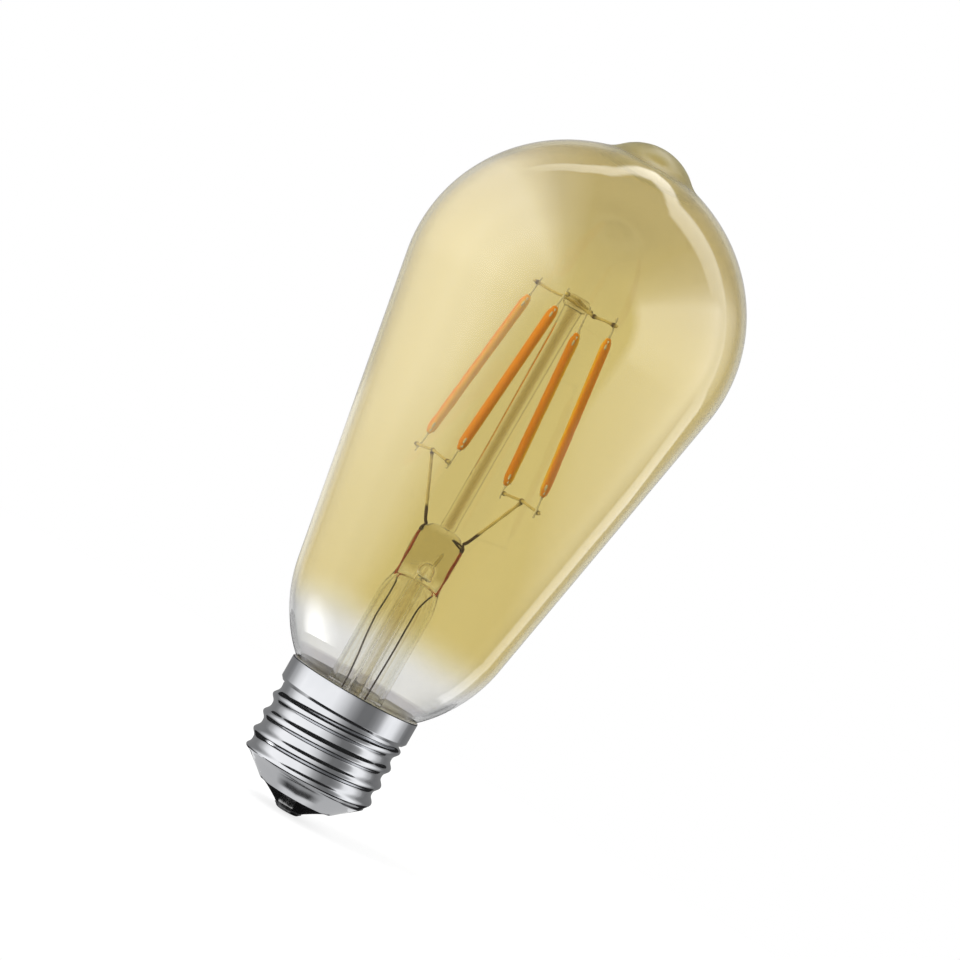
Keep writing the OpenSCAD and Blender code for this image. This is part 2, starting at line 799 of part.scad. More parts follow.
glass_envelope();
stem_flare();
exhaust_tube();
arbor_rod();
arbor_bead();
mirror([1, 0, 0]) dumet_wire();  // dumet_wire_left
dumet_wire();  // dumet_wire_right
rotate([0, 0, 180]) lead_in_wire();  // lead_in_wire_left
lead_in_wire();  // lead_in_wire_right
mirror([1, 0, 0]) outer_lead();  // outer_lead_left
outer_lead();  // outer_lead_right
lower_cross_wire(0, 1);  // lower_cross_wire_left
lower_cross_wire(3, 2);  // lower_cross_wire_right
color(wire_colour) upper_cross_wire(0, 3, -cross_lift, 0);  // upper_cross_wire_a
color(wire_colour) upper_cross_wire(1, 2, cross_lift, 0);  // upper_cross_wire_b
for (i = [0 : 3]) {
    filament_coat(i);
    filament_strip(i);
    filament_chips(i);
    filament_tabs(i);
}
screw_shell();
cap_insulator();
centre_contact();
basing_cement();
driver_liner();
driver_board();
live_wire();
neutral_wire();
bridge_rectifier();
driver_chip();
fuse_resistor();
chip_passives();
storage_capacitor();
inductor_core();
inductor_winding();
radio_board();
radio_chip();
antenna_track();
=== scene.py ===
from functools import partial
import math

import bmesh
import bpy
from mathutils import Matrix, Vector


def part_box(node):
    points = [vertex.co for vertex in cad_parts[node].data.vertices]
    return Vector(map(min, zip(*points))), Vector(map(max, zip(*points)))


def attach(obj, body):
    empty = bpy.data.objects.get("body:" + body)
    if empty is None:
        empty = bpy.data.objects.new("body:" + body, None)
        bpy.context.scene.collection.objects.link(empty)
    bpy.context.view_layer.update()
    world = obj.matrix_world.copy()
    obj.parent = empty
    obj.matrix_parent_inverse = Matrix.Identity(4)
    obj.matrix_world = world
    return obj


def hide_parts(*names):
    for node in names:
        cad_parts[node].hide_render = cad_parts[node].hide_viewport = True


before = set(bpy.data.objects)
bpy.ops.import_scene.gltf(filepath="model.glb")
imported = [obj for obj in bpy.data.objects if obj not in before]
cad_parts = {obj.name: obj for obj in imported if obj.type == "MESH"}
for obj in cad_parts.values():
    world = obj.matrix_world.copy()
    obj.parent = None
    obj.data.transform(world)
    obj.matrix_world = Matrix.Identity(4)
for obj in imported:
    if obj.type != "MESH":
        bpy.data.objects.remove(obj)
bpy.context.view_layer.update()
mm = 0.001
print("frame: %d CAD nodes" % len(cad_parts))


def linear(code):  # sRGB hex to the linear colour that a socket takes
    parts = [int(code[i:i + 2], 16) / 255 for i in (1, 3, 5)]
    return [c / 12.92 if c <= 0.04045 else ((c + 0.055) / 1.055) ** 2.4 for c in parts] + [1]


def addNode(tree, kind, sockets=None, out=0, **settings):  # a socket takes a value, a colour or a link
    node = tree.nodes.new("ShaderNode" + kind)
    for name, value in settings.items():
        setattr(node, name, value)
    for name, value in (sockets or {}).items():
        if isinstance(value, bpy.types.NodeSocket):
            tree.links.new(value, node.inputs[name])
        else:
            node.inputs[name].default_value = linear(value) if isinstance(value, str) else value
    return node.outputs[out] if len(node.outputs) else None


def newMaterial(name):
    material = bpy.data.materials.new(name)
    material.use_nodes = True
    material.node_tree.nodes.clear()
    return material, partial(addNode, material.node_tree)


def passLamps(add, tint, wall):  # lamps shine through glass; each wall is crossed at two faces
    lampRay = add("LightPath", out="Is Shadow Ray")
    face = add("Gamma", {"Color": tint, "Gamma": 0.5})
    through = add("BsdfTransparent", {0: face})
    mixed = add("MixShader", {0: lampRay, 1: wall, 2: through})
    add("OutputMaterial", {0: mixed})


# a Mix node takes its two colours at 6 and 7, and gives their mix at 2
rgba = {"out": 2, "data_type": "RGBA"}

# Glass
amber = {
    "gold": "#E6DBAD", "crown": "#DCD1A9", "deep": "#CDBB86", "clear": "#F2F2F1", "clearDeep": "#B4B6B8",
    # shade: the painted grey shade on the back of the neck over the cap
    "gilt": "#C4AF72", "tip": "#E4D79A", "shade": "#C6C4C8", "ior": 1.5, "gloss": 0.01, "tipHaze": 0.35,
    "slantPower": 3.0, "driftSize": 30, "drift": 5.0,
    # heights
    "fadeFrom": 33.0, "fadeTo": 43.0, "crownFrom": 106, "crownTo": 129, "tipFrom": 135.6, "tipTo": 137.2,
    # the last three: where the painted shade on the back of the neck stops above and below, and how soft its
    # edges are
    "paintedShadeTop": 28.1, "paintedShadeFoot": 26.1, "paintedShadeSoft": 0.25,
}


def amberGlass():  # blown soda glass, sprayed gold inside; the spray fades out where the neck was masked
    material, add = newMaterial("goldSprayedSodaGlass")
    place = add("TexCoord", out="Object")
    axes = add("SeparateXYZ", {0: place}).node.outputs
    height = axes["Z"]
    cloud = add("TexNoise", {"Vector": place, "Scale": 1000 / amber["driftSize"]})
    drift = add("Math", {0: cloud, 1: amber["drift"] * mm}, operation="MULTIPLY")
    level = add("Math", {0: height, 1: drift}, operation="ADD")
    spray = add("MapRange", {
        0: level, 1: (amber["fadeFrom"] + amber["drift"] / 2) * mm,
        2: (amber["fadeTo"] + amber["drift"] / 2) * mm}, interpolation_type="SMOOTHSTEP")
    # towards its outline a wall is crossed at a slant, so more of its colour is seen
    slant = add("LayerWeight", {"Blend": 0.5}, "Facing")
    slant = add("Math", {0: slant, 1: amber["slantPower"]}, operation="POWER")
    # the spray lies thicker on the dome
    thick = add("MapRange", {
        0: height, 1: amber["crownFrom"] * mm, 2: amber["crownTo"] * mm}, interpolation_type="SMOOTHSTEP")
    gold = add("Mix", {0: thick, 6: amber["gold"], 7: amber["crown"]}, **rgba)
    gold = add("Mix", {0: slant, 6: gold, 7: amber["deep"]}, **rgba)
    clear = add("Mix", {0: slant, 6: amber["clear"], 7: amber["clearDeep"]}, **rgba)
    # close over the cap the back of the neck is tinted grey: a painted shade that stands in for the dark
    # metal and cement seen round it
    low = add("MapRange", {
        0: height, 1: amber["paintedShadeTop"] * mm, 2: (amber["paintedShadeTop"] - amber["paintedShadeSoft"]) * mm})
    over = add("MapRange", {
        0: height, 1: (amber["paintedShadeFoot"] - amber["paintedShadeSoft"]) * mm, 2: amber["paintedShadeFoot"] * mm})
    back = add("MapRange", {0: axes["Y"], 1: 0.0, 2: mm})
    low = add("Math", {0: low, 1: over}, operation="MULTIPLY")
    low = add("Math", {0: low, 1: back}, operation="MULTIPLY")
    clear = add("Mix", {0: low, 6: clear, 7: amber["shade"]}, **rgba)
    tint = add("Mix", {0: spray, 6: clear, 7: gold}, **rgba)
    # the tip was drawn off in a flame, which left it hazy and thick
    drawn = add("MapRange", {0: height, 1: amber["tipFrom"] * mm, 2: amber["tipTo"] * mm})
    haze = add("MapRange", {0: drawn, 3: amber["gloss"], 4: amber["tipHaze"]})
    tint = add("Mix", {0: drawn, 6: tint, 7: amber["tip"]}, **rgba)
    # the spray also gilds what the glass mirrors at a slant
    gilt = add("Math", {0: slant, 1: spray}, operation="MULTIPLY")
    gilt = add("Mix", {0: gilt, 6: "#FFFFFF", 7: amber["gilt"]}, **rgba)
    wall = add("BsdfPrincipled", {
        "Base Color": tint, "Roughness": haze, "IOR": amber["ior"], "Transmission Weight": 1.0,
        "Specular Tint": gilt})
    passLamps(add, tint, wall)
    return material


stem = {
    # core and rim: painted shades for the solid rod's middle and rims
    # press: the thick press's own tint, with a painted gold reflection of the glass round it
    "body": "#FDFDFC", "edge": "#EAEDE5", "press": "#DAD4B8", "striae": "#EAE4D2", "core": "#CBBE9E",
    "rim": "#DCD6C2", "ior": 1.32, "rodIor": 1.22, "gloss": 0.02, "slantBlend": 0.4,
    "striaeWide": 0.55, "striaeStretch": 0.01, "striaeFrom": 0.5, "striaeFull": 0.65,
    # how slanted the rod's glass is seen where each painted shade starts and where it is full
    "coreFrom": 0.16, "coreFull": 0.0, "rimFrom": 0.3, "rimFull": 0.5,
    # heights and sizes
    "pressMiddle": 55.2, "pressHalf": 5.2, "pressSoft": 1.6, "rodFrom": 60.3, "rodFull": 60.9,
    "vent": (0.5, 0, 51.7), "ventIn": 1.3, "ventOut": 2.1,
}


def stemGlass():  # drawn lead glass, worked in a flame: clear and a little green at its edges
    material, add = newMaterial("clearLeadGlass")
    slant = add("LayerWeight", {"Blend": stem["slantBlend"]}, "Facing")
    thin = add("Mix", {0: slant, 6: stem["body"], 7: stem["edge"]}, **rgba)
    # drawing leaves long streaks in the glass
    place = add("TexCoord", out="Object")
    drawn = add("Mapping", {"Vector": place, "Scale": (1, 1, stem["striaeStretch"])})
    streak = add("TexNoise", {"Vector": drawn, "Scale": 1000 / stem["striaeWide"], "Detail": 1})
    streak = add("MapRange", {0: streak, 1: stem["striaeFrom"], 2: stem["striaeFull"]})
    thin = add("Mix", {0: streak, 6: thin, 7: stem["striae"]}, **rgba)
    # the rod above the press is solid; its middle and its rims are painted darker than the flanks between
    # them, a painted shade for what refraction shows there
    height = add("SeparateXYZ", {0: place}, "Z")
    solid = add("MapRange", {0: height, 1: stem["rodFrom"] * mm, 2: stem["rodFull"] * mm})
    for name in ("core", "rim"):
        share = add("MapRange", {0: slant, 1: stem[name + "From"], 2: stem[name + "Full"]})
        share = add("Math", {0: share, 1: solid}, operation="MULTIPLY")
        thin = add("Mix", {0: share, 6: thin, 7: stem[name]}, **rgba)
    bend = add("MapRange", {0: solid, 3: stem["ior"], 4: stem["rodIor"]})
    # the press is the thickest glass, so its own tint is deeper; the gold in that tint is a painted
    # reflection of the gold glass round it
    away = add("Math", {0: height, 1: stem["pressMiddle"] * mm}, operation="SUBTRACT")
    away = add("Math", {0: away}, operation="ABSOLUTE")
    thick = add("MapRange", {
        0: away, 1: stem["pressHalf"] * mm, 2: (stem["pressHalf"] - stem["pressSoft"]) * mm})
    # round the blown vent it is thin again
    flat = add("Mapping", {"Vector": place, "Scale": (1, 0, 1)})
    span = add("VectorMath", {0: flat, 1: Vector(stem["vent"]) * mm}, "Value", operation="DISTANCE")
    past = add("MapRange", {0: span, 1: stem["ventIn"] * mm, 2: stem["ventOut"] * mm})
    thick = add("Math", {0: thick, 1: past}, operation="MULTIPLY")
    tint = add("Mix", {0: thick, 6: thin, 7: stem["press"]}, **rgba)
    wall = add("BsdfPrincipled", {
        "Base Color": tint, "Roughness": stem["gloss"], "IOR": bend, "Transmission Weight": 1.0})
    passLamps(add, tint, wall)
    return material


grainLook = {"darkBelow": 0.3, "lightAbove": 0.7, "glossSwing": 0.25, "relief": 0.2}


def grained(name, dark, light, grain, rough, metal=0.0, bump=0.0, ior=1.5):
    # two shades that drift over the surface at the grain's size in millimetres, with gloss and bump to match
    material, add = newMaterial(name)
    place = add("TexCoord", out="Object")
    cloud = add("TexNoise", {"Vector": place, "Scale": 1000 / grain, "Detail": 4})
    shade = add("MapRange", {0: cloud, 1: grainLook["darkBelow"], 2: grainLook["lightAbove"]})
    colour = add("Mix", {0: shade, 6: dark, 7: light}, **rgba)
    gloss = add("MapRange", {
        0: cloud, 3: rough * (1 - grainLook["glossSwing"]), 4: rough * (1 + grainLook["glossSwing"])})
    relief = add("Bump", {"Height": cloud, "Strength": bump, "Distance": grain * mm * grainLook["relief"]})
    surface = add("BsdfPrincipled", {
        "Base Color": colour, "Roughness": gloss, "Metallic": metal, "Normal": relief, "IOR": ior})
    add("OutputMaterial", {0: surface})
    return material


coat = {
    "orange": "#EA9A1C", "ochre": "#F8C836", "grain": 0.12, "rough": 0.5, "ior": 1.41,
    "paleFrom": 0.35, "paleFull": 0.75, "bump": 0.15, "relief": 0.02, "shine": 0.35,
    # how much light goes into the skin, and how far its red, green and blue go
    "waxy": 0.25, "glow": (0.6, 0.35, 0.1),
}


def phosphorCoat():  # phosphor powder in silicone rubber: a waxy skin, paler on the side away from the chips
    material, add = newMaterial("phosphorSilicone")
    place = add("TexCoord", out="Object")
    powder = add("TexNoise", {"Vector": place, "Scale": 1000 / coat["grain"], "Detail": 3})
    side = add("Attribute", out="Fac", attribute_name="paleSide")
    pale = add("MapRange", {0: side, 1: coat["paleFrom"], 2: coat["paleFull"]})
    colour = add("Mix", {0: pale, 6: coat["orange"], 7: coat["ochre"]}, **rgba)
    relief = add("Bump", {
        "Height": powder, "Strength": coat["bump"], "Distance": coat["relief"] * mm})
    skin = add("BsdfPrincipled", {
        "Base Color": colour, "Roughness": coat["rough"], "IOR": coat["ior"], "Normal": relief,
        "Specular IOR Level": coat["shine"], "Subsurface Weight": coat["waxy"], "Subsurface Scale": 1.0,
        "Subsurface Radius": Vector(coat["glow"]) * mm})
    add("OutputMaterial", {0: skin})
    return material


plate = {
    "bright": "#E4E5E8", "dull": "#CFD1D5", "rough": 0.1, "glossSwing": 0.3, "cloud": 6.0,
    "streak": 0.25, "streakStretch": 0.12, "bump": 0.05, "relief": 0.02,
    # cement on the skirt's inside: closer in and higher than this
    "smear": "#F0F1FA", "smearRough": 0.8, "inside": 13.13, "insideFrom": 21.8,
}


def cappedMetal():  # rolled brass, plated with nickel: a bright mirror with faint lines round the shell
    material, add = newMaterial("nickelPlatedBrass")
    place = add("TexCoord", out="Object")
    # stretched round the axis, so the lines run with the rolling; drawn coarse enough to show
    squash = add("Mapping", {"Vector": place, "Scale": (plate["streakStretch"], plate["streakStretch"], 1)})
    lines = add("TexNoise", {"Vector": squash, "Scale": 1000 / plate["streak"], "Detail": 3})
    haze = add("TexNoise", {"Vector": place, "Scale": 1000 / plate["cloud"], "Detail": 2})
    colour = add("Mix", {0: haze, 6: plate["dull"], 7: plate["bright"]}, **rgba)
    gloss = add("MapRange", {
        0: lines, 3: plate["rough"] * (1 - plate["glossSwing"]),
        4: plate["rough"] * (1 + plate["glossSwing"])})
    # the inside of the skirt is smeared with cement
    height = add("SeparateXYZ", {0: place}, "Z")
    flat = add("Mapping", {"Vector": place, "Scale": (1, 1, 0)})
    out = add("VectorMath", {0: flat}, "Value", operation="LENGTH")
    inner = add("Math", {0: out, 1: plate["inside"] * mm}, operation="LESS_THAN")
    upper = add("Math", {0: height, 1: plate["insideFrom"] * mm}, operation="GREATER_THAN")
    smear = add("Math", {0: inner, 1: upper}, operation="MULTIPLY")
    colour = add("Mix", {0: smear, 6: colour, 7: plate["smear"]}, **rgba)
    gloss = add("MapRange", {0: smear, 3: gloss, 4: plate["smearRough"]})
    metal = add("MapRange", {0: smear, 3: 1.0, 4: 0.0})
    relief = add("Bump", {"Height": lines, "Strength": plate["bump"], "Distance": plate["relief"] * mm})
    surface = add("BsdfPrincipled", {
        "Base Color": colour, "Metallic": metal, "Roughness": gloss, "Normal": relief})
    add("OutputMaterial", {0: surface})
    return material


wire = {
    "bright": "#EADFAE", "burnt": "#4A3526", "burntBelow": 62.2, "brightAbove": 62.9, "burntMetal": 0.2,
    "brightMetal": 0.3, "rough": 0.35, "bump": 0.2, "relief": 0.03,
    # scale on the wire: the size of its patches, where they start and end, and how bright they leave it
    "scale": 0.8, "patchFrom": 0.3, "patchTo": 0.7, "patchBright": 0.75,
}


def nickelWire():  # drawn nickel iron: dull straw grey, burnt dark near the press where the flame reached it
    material, add = newMaterial("nickelIronWire")
    place = add("TexCoord", out="Object")
    height = add("SeparateXYZ", {0: place}, "Z")
    scale = add("TexNoise", {"Vector": place, "Scale": 1000 / wire["scale"], "Detail": 3})
    burn = add("MapRange", {0: height, 1: wire["burntBelow"] * mm, 2: wire["brightAbove"] * mm})
    weld = add("Attribute", out="Fac", attribute_name="weld")
    bare = add("Math", {0: burn, 1: weld}, operation="SUBTRACT", use_clamp=True)
    patch = add("MapRange", {
        0: scale, 1: wire["patchFrom"], 2: wire["patchTo"], 3: wire["patchBright"], 4: 1.0})
    bare = add("Math", {0: bare, 1: patch}, operation="MULTIPLY")
    colour = add("Mix", {0: bare, 6: wire["burnt"], 7: wire["bright"]}, **rgba)
    shine = add("MapRange", {0: bare, 3: wire["burntMetal"], 4: wire["brightMetal"]})
    relief = add("Bump", {"Height": scale, "Strength": wire["bump"], "Distance": wire["relief"] * mm})
    surface = add("BsdfPrincipled", {
        "Base Color": colour, "Metallic": shine, "Roughness": wire["rough"], "Normal": relief})
    add("OutputMaterial", {0: surface})
    return material


amberWall = amberGlass()
stemWall = stemGlass()
phosphor = phosphorCoat()
nickelPlate = cappedMetal()
nickelIron = nickelWire()
# thin nickel wire that took the flame of the seal: brown black
outerLead = grained("burntNickelWire", "#33271C", "#5C4A39", 0.9, 0.4, metal=0.3, bump=0.1)
# copper clad sealing wire: the oxide under the glass makes it brick red
dumet = grained("copperCladDumet", "#A8321E", "#D0583A", 0.6, 0.4, metal=0.05, bump=0.1)
# stamped steel, nickel plated and bright
tabPlate = grained("nickelPlatedSteel", "#D6D6D6", "#F2F2F1", 0.5, 0.25, metal=0.5, bump=0.05)
# alumina strip, chalk white and matt
alumina = grained("sinteredAlumina", "#E4E2DC", "#F3F2EE", 0.2, 0.6, bump=0.1)
# sapphire chips, pale yellow under the silicone
sapphire = grained("sapphireChip", "#D9C970", "#EFE3A0", 0.3, 0.15)
# black glass run hot into the cap: deep gloss with a slight orange peel
vitrite = grained("blackVitriteGlass", "#070708", "#101012", 1.5, 0.1, bump=0.08, ior=1.55)
# a dipped blob of lead free solder, coloured dark grey, with a dull gloss
solder = grained("dullTinSolder", "#2A2A2B", "#4C4C4E", 0.7, 0.3, metal=0.9, bump=0.2)
# marble flour and resin, baked hard: grey, sandy and matt
cement = grained("bakedCapCement", "#B2B2B8", "#CDCDD3", 0.5, 0.8, bump=0.5)
# injection moulded PBT, ivory with a fine spark finish
pbt = grained("mouldedPbt", "#DDD8C6", "#E9E5D6", 0.15, 0.45, bump=0.15)
# glass epoxy laminate under green solder mask
laminate = grained("greenMaskLaminate", "#14502B", "#1F6B3A", 0.4, 0.35, bump=0.15)
# transfer moulded epoxy, near black and matt
epoxy = grained("mouldedEpoxy", "#17181A", "#25262A", 0.1, 0.5, bump=0.2)
# flame proof lacquer on a ceramic rod, pale green
lacquer = grained("fuseLacquer", "#8FB58A", "#A9CBA2", 0.3, 0.4, bump=0.15)
# fired ceramic chips, brown
ceramic = grained("firedChipCeramic", "#6B4A2F", "#8A6543", 0.2, 0.45, bump=0.1)
# shrunk PET sleeve, dark blue and glossy
sleeve = grained("shrunkPetSleeve", "#14213F", "#1C2E57", 0.6, 0.2, bump=0.05)
# pressed ferrite, dark grey and gritty
ferrite = grained("pressedFerrite", "#2C2D30", "#3E4044", 0.12, 0.6, bump=0.3)
# enamelled copper, amber brown and glossy
copper = grained("enamelledCopper", "#8A4A1F", "#B8692F", 0.35, 0.25, metal=0.7, bump=0.3)
# extruded PVC, a little waxy
redPvc = grained("redPvc", "#8E1F1B", "#A62A24", 0.3, 0.4, bump=0.1)
bluePvc = grained("bluePvc", "#2B4F7F", "#386398", 0.3, 0.4, bump=0.1)
print("materials: %d" % len(bpy.data.materials))


def placeMesh(bm, name, material):
    mesh = bpy.data.meshes.new(name)
    bm.to_mesh(mesh)
    bm.free()
    mesh.materials.append(material)
    placed = bpy.data.objects.new(name, mesh)
    bpy.context.collection.objects.link(placed)
    return placed


def smoothFaces(mesh, sharp):  # edges that turn by more degrees than sharp stay crisp
    mesh.shade_smooth()
    mesh.set_sharp_from_angle(angle=math.radians(sharp))


def finishPiece(bm, material, node, sharp=50):  # named after the node that it takes the place of
    first, *others = node.split("_")
    piece = placeMesh(bm, first + "".join(word.capitalize() for word in others), material)
    smoothFaces(piece.data, sharp)
    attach(piece, "root")
    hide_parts(node)
    return piece


def startAt(r, z):  # starts a profile, r out from the axis and z up, both in millimetres
    bm = bmesh.new()
    return bm, bm.verts.new((r * mm, 0, z * mm))


def lineTo(bm, tip, *points):  # carries a profile on in straight lines
    for r, z in points:
        tip = bmesh.ops.extrude_vert_indiv(bm, verts=[tip])["verts"][0]
        tip.co = (r * mm, 0, z * mm)
    return tip


def arcTo(bm, tip, centre, degrees, steps):  # carries it on round a centre, upwards if degrees is positive
    return bmesh.ops.spin(
        bm, geom=[tip], cent=(centre[0] * mm, 0, centre[1] * mm), axis=(0, -1, 0),
        angle=math.radians(degrees), steps=steps)["geom_last"][0]


def spinRound(bm, around):
    bmesh.ops.spin(
        bm, geom=bm.verts[:] + bm.edges[:], cent=(0, 0, 0), axis=(0, 0, 1),
        angle=math.tau, steps=around, use_merge=True)
    bmesh.ops.remove_doubles(bm, verts=bm.verts, dist=1e-6)
    bmesh.ops.dissolve_degenerate(bm, dist=1e-7, edges=bm.edges)
    bmesh.ops.recalc_face_normals(bm, faces=bm.faces)


glass = {
    "widest": 65.5, "widestZ": 107.1, "crownRise": 31.5, "taper": 10.2, "shoulder": 29.0,
    "throat": 26.8, "throatZ": 26.7, "neck": 22.6, "wall": 0.9, "tipRise": 3.1, "tipRound": 10.9,
    "tipFillet": 7.0, "around": 144, "shoulderSteps": 28, "domeSteps": 44, "filletSteps": 10, "tipSteps": 14,
}
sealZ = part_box("glass_envelope")[0].z / mm


def makeGlass():
    half = glass["widest"] / 2
    rise = glass["crownRise"]
    taper = math.radians(glass["taper"])
    # the body is a straight cone that touches the dome
    start = -math.atan(rise / half * math.tan(taper))
    foot = Vector((half * math.cos(start), glass["widestZ"] + rise * math.sin(start)))
    along = Vector((math.sin(taper), math.cos(taper)))
    inward = Vector((-math.cos(taper), math.sin(taper)))
    throat = Vector((glass["throat"] / 2, glass["throatZ"]))
    # the shoulder's arc passes through the throat and touches the cone
    offset = foot + glass["shoulder"] * inward - throat
    reach = math.sqrt(glass["shoulder"] ** 2 - offset.dot(inward) ** 2)
    centre = foot + glass["shoulder"] * inward + (reach - offset.dot(along)) * along
    throatTurn = math.degrees(math.atan2(throat.y - centre.y, throat.x - centre.x))
    # the tip is a ball on the crown, with a fillet round it
    crown = half * half / rise
    top = glass["widestZ"] + rise + glass["tipRise"]
    span = top - glass["tipRound"] - (glass["widestZ"] + rise - crown)
    far = crown + glass["tipFillet"]
    near = glass["tipRound"] + glass["tipFillet"]
    up = (far * far - near * near + span * span) / (2 * span)
    out = math.sqrt(far * far - up * up)
    crownTurn = math.degrees(math.atan2(out, up))
    tipTurn = math.degrees(math.atan2(out, up - span))
    domeEnd = math.acos(crown * math.sin(math.radians(crownTurn)) / half)

    neck = glass["neck"] / 2
    bm, tip = startAt(neck, sealZ)
    tip = lineTo(bm, tip, (neck, throat.y - throat.x + neck), throat)
    tip = arcTo(bm, tip, centre, -glass["taper"] - throatTurn, glass["shoulderSteps"])
    # the dome is drawn round, then pressed down to its height
    drawn = len(bm.verts)
    domeZ = glass["widestZ"] + half * math.sin(start)
    domeFoot = bm.verts.new((half * math.cos(start) * mm, 0, domeZ * mm))
    crownEdge = arcTo(bm, domeFoot, (0, glass["widestZ"]), math.degrees(domeEnd - start), glass["domeSteps"])
    bm.verts.ensure_lookup_table()
    bmesh.ops.scale(
        bm, vec=(1, 1, rise / half), verts=bm.verts[drawn:],
        space=Matrix.Translation((0, 0, -glass["widestZ"] * mm)))
    bm.edges.new((tip, domeFoot))
    fillet = (out, glass["widestZ"] + rise - crown + up)
    tip = arcTo(bm, crownEdge, fillet, crownTurn - tipTurn, glass["filletSteps"])
    tip = arcTo(bm, tip, (0, top - glass["tipRound"]), tipTurn, glass["tipSteps"])
    tip.co.x = 0
    spinRound(bm, glass["around"])
    bmesh.ops.solidify(bm, geom=bm.faces[:], thickness=glass["wall"] * mm)
    return finishPiece(bm, amberWall, "glass_envelope")


bulb = makeGlass()
print("glass: %d faces" % len(bulb.data.polygons))


# Cap: the shell's skin is spun, the thread is pressed into it, and then it gets its wall
cap = {
    "rimZ": 26.1, "skirt": 13.3, "skirtZ": 20.9, "step": 0.4, "root": 12.25, "depth": 0.85, "pitch": 3.629,
    "phase": 0.45, "crest": 1.6, "runIn": 0.7, "runOut": 0.9, "toeZ": 7.2, "toe": 7.7, "edgeZ": 3.4,
    "wall": 0.35, "rim": 0.22, "toeRows": 12, "rows": 110, "around": 192,
    # the slope up to the skirt: how far out and up, rows that keep its end crisp, and its last rise
    "slope": (0.5, 0.62), "slopeRows": (0.85, 0.97), "slopeEnd": 0.08,
}


def threadRise(point):  # how far the thread stands out of the plain shell
    z = point.z / mm
    turn = math.degrees(math.atan2(point.y, point.x))
    rampIn = (z - cap["toeZ"] + cap["runIn"]) / (2 * cap["runIn"])
    rampOut = (cap["skirtZ"] - z) / cap["runOut"]
    fade = max(0, min(1, rampIn, rampOut))
    fade = fade * fade * (3 - 2 * fade)
    wave = math.cos(math.tau * (z / cap["pitch"] - turn / 360 - cap["phase"]))
    return cap["depth"] * fade * ((1 + wave) / 2) ** cap["crest"]


def makeShell():
    bm, tip = startAt(cap["toe"], cap["edgeZ"])
    for i in range(1, cap["toeRows"] + 1):
        share = i / cap["toeRows"]
        out = cap["toe"] + (cap["root"] - cap["toe"]) * share
        tip = lineTo(bm, tip, (out, cap["edgeZ"] + (cap["toeZ"] - cap["edgeZ"]) * share))
    for i in range(1, cap["rows"] + 1):
        tip = lineTo(bm, tip, (cap["root"], cap["toeZ"] + (cap["skirtZ"] - cap["toeZ"]) * i / cap["rows"]))
    # the step up to the skirt is rolled: a quarter turn out, a flat, and a slope up
    roll = cap["step"] / 2
    slopeZ = cap["skirtZ"] + roll
    wide, high = cap["slope"]
    tip = arcTo(bm, tip, (cap["root"] + roll, cap["skirtZ"]), -90, 4)
    tip = lineTo(bm, tip, (cap["skirt"] - wide, slopeZ))
    for share in cap["slopeRows"]:
        tip = lineTo(bm, tip, (cap["skirt"] - wide * (1 - share), slopeZ + high * share))
    rimFoot = cap["rimZ"] - cap["rim"]
    tip = lineTo(bm, tip, (cap["skirt"], slopeZ + high + cap["slopeEnd"]), (cap["skirt"], rimFoot))
    arcTo(bm, tip, (cap["skirt"] - cap["rim"], rimFoot), 90, 5)
    spinRound(bm, cap["around"])
    for vert in bm.verts:
        flat = Vector((vert.co.x, vert.co.y, 0))
        vert.co += flat.normalized() * threadRise(vert.co) * mm
    bmesh.ops.recalc_face_normals(bm, faces=bm.faces)
    bmesh.ops.solidify(bm, geom=bm.faces[:], thickness=cap["wall"] * mm)
    return finishPiece(bm, nickelPlate, "screw_shell")


shell = makeShell()
print("shell: %d faces" % len(shell.data.polygons))

# Insulator and contact under the shell
foot = {
    "edge": 7.3, "edgeZ": 3.4, "deep": 8.7, "top": 4.6, "hole": 1.25, "seat": 2.85, "seatZ": 0.9,
    "seatRound": 0.25, "lip": 3.1, "lipZ": 1.03, "steep": 1.2, "rows": 10, "around": 96,
}
button = {
    "flat": 1.9, "wide": 2.8, "round": 0.6, "high": 0.85, "eyelet": 1.2, "bore": 0.47, "top": 4.6,
    "worn": 0.6, "dip": 0.02, "side": 0.7, "around": 64,
}


def makeInsulator():
    bm, first = startAt(foot["hole"], foot["top"])
    tip = lineTo(bm, first, (foot["hole"], foot["seatZ"]), (foot["seat"], foot["seatZ"]))
    tip = arcTo(bm, tip, (foot["seat"], foot["seatZ"] + foot["seatRound"]), 60, 4)
    # steeper by the contact, flatter where the glass ran out to the shell's edge
    for i in range(1, foot["rows"] + 1):
        share = i / foot["rows"]
        climb = foot["steep"] * share - (foot["steep"] - 1) * share * share
        out = foot["lip"] + (foot["edge"] - foot["lip"]) * share
        tip = lineTo(bm, tip, (out, foot["lipZ"] + (foot["edgeZ"] - foot["lipZ"]) * climb))
    tip = lineTo(bm, tip, (foot["deep"], foot["top"]))
    bm.edges.new((tip, first))
    spinRound(bm, foot["around"])
    finishPiece(bm, vitrite, "cap_insulator")


def makeContact():
    bm, tip = startAt(0, 0)
    tip = lineTo(bm, tip, (button["flat"] * button["worn"], 0), (button["flat"], button["dip"]))
    tip = arcTo(bm, tip, (button["flat"], button["dip"] + button["round"]), 60, 6)
    high = button["high"]
    top = button["top"]
    lineTo(bm, tip, (button["wide"], high * button["side"]), (button["wide"], high), (button["eyelet"], high),
           (button["eyelet"], top), (button["bore"], top), (button["bore"], high), (0, high))
    spinRound(bm, button["around"])
    finishPiece(bm, solder, "centre_contact")


makeInsulator()
makeContact()
print("cap foot made")


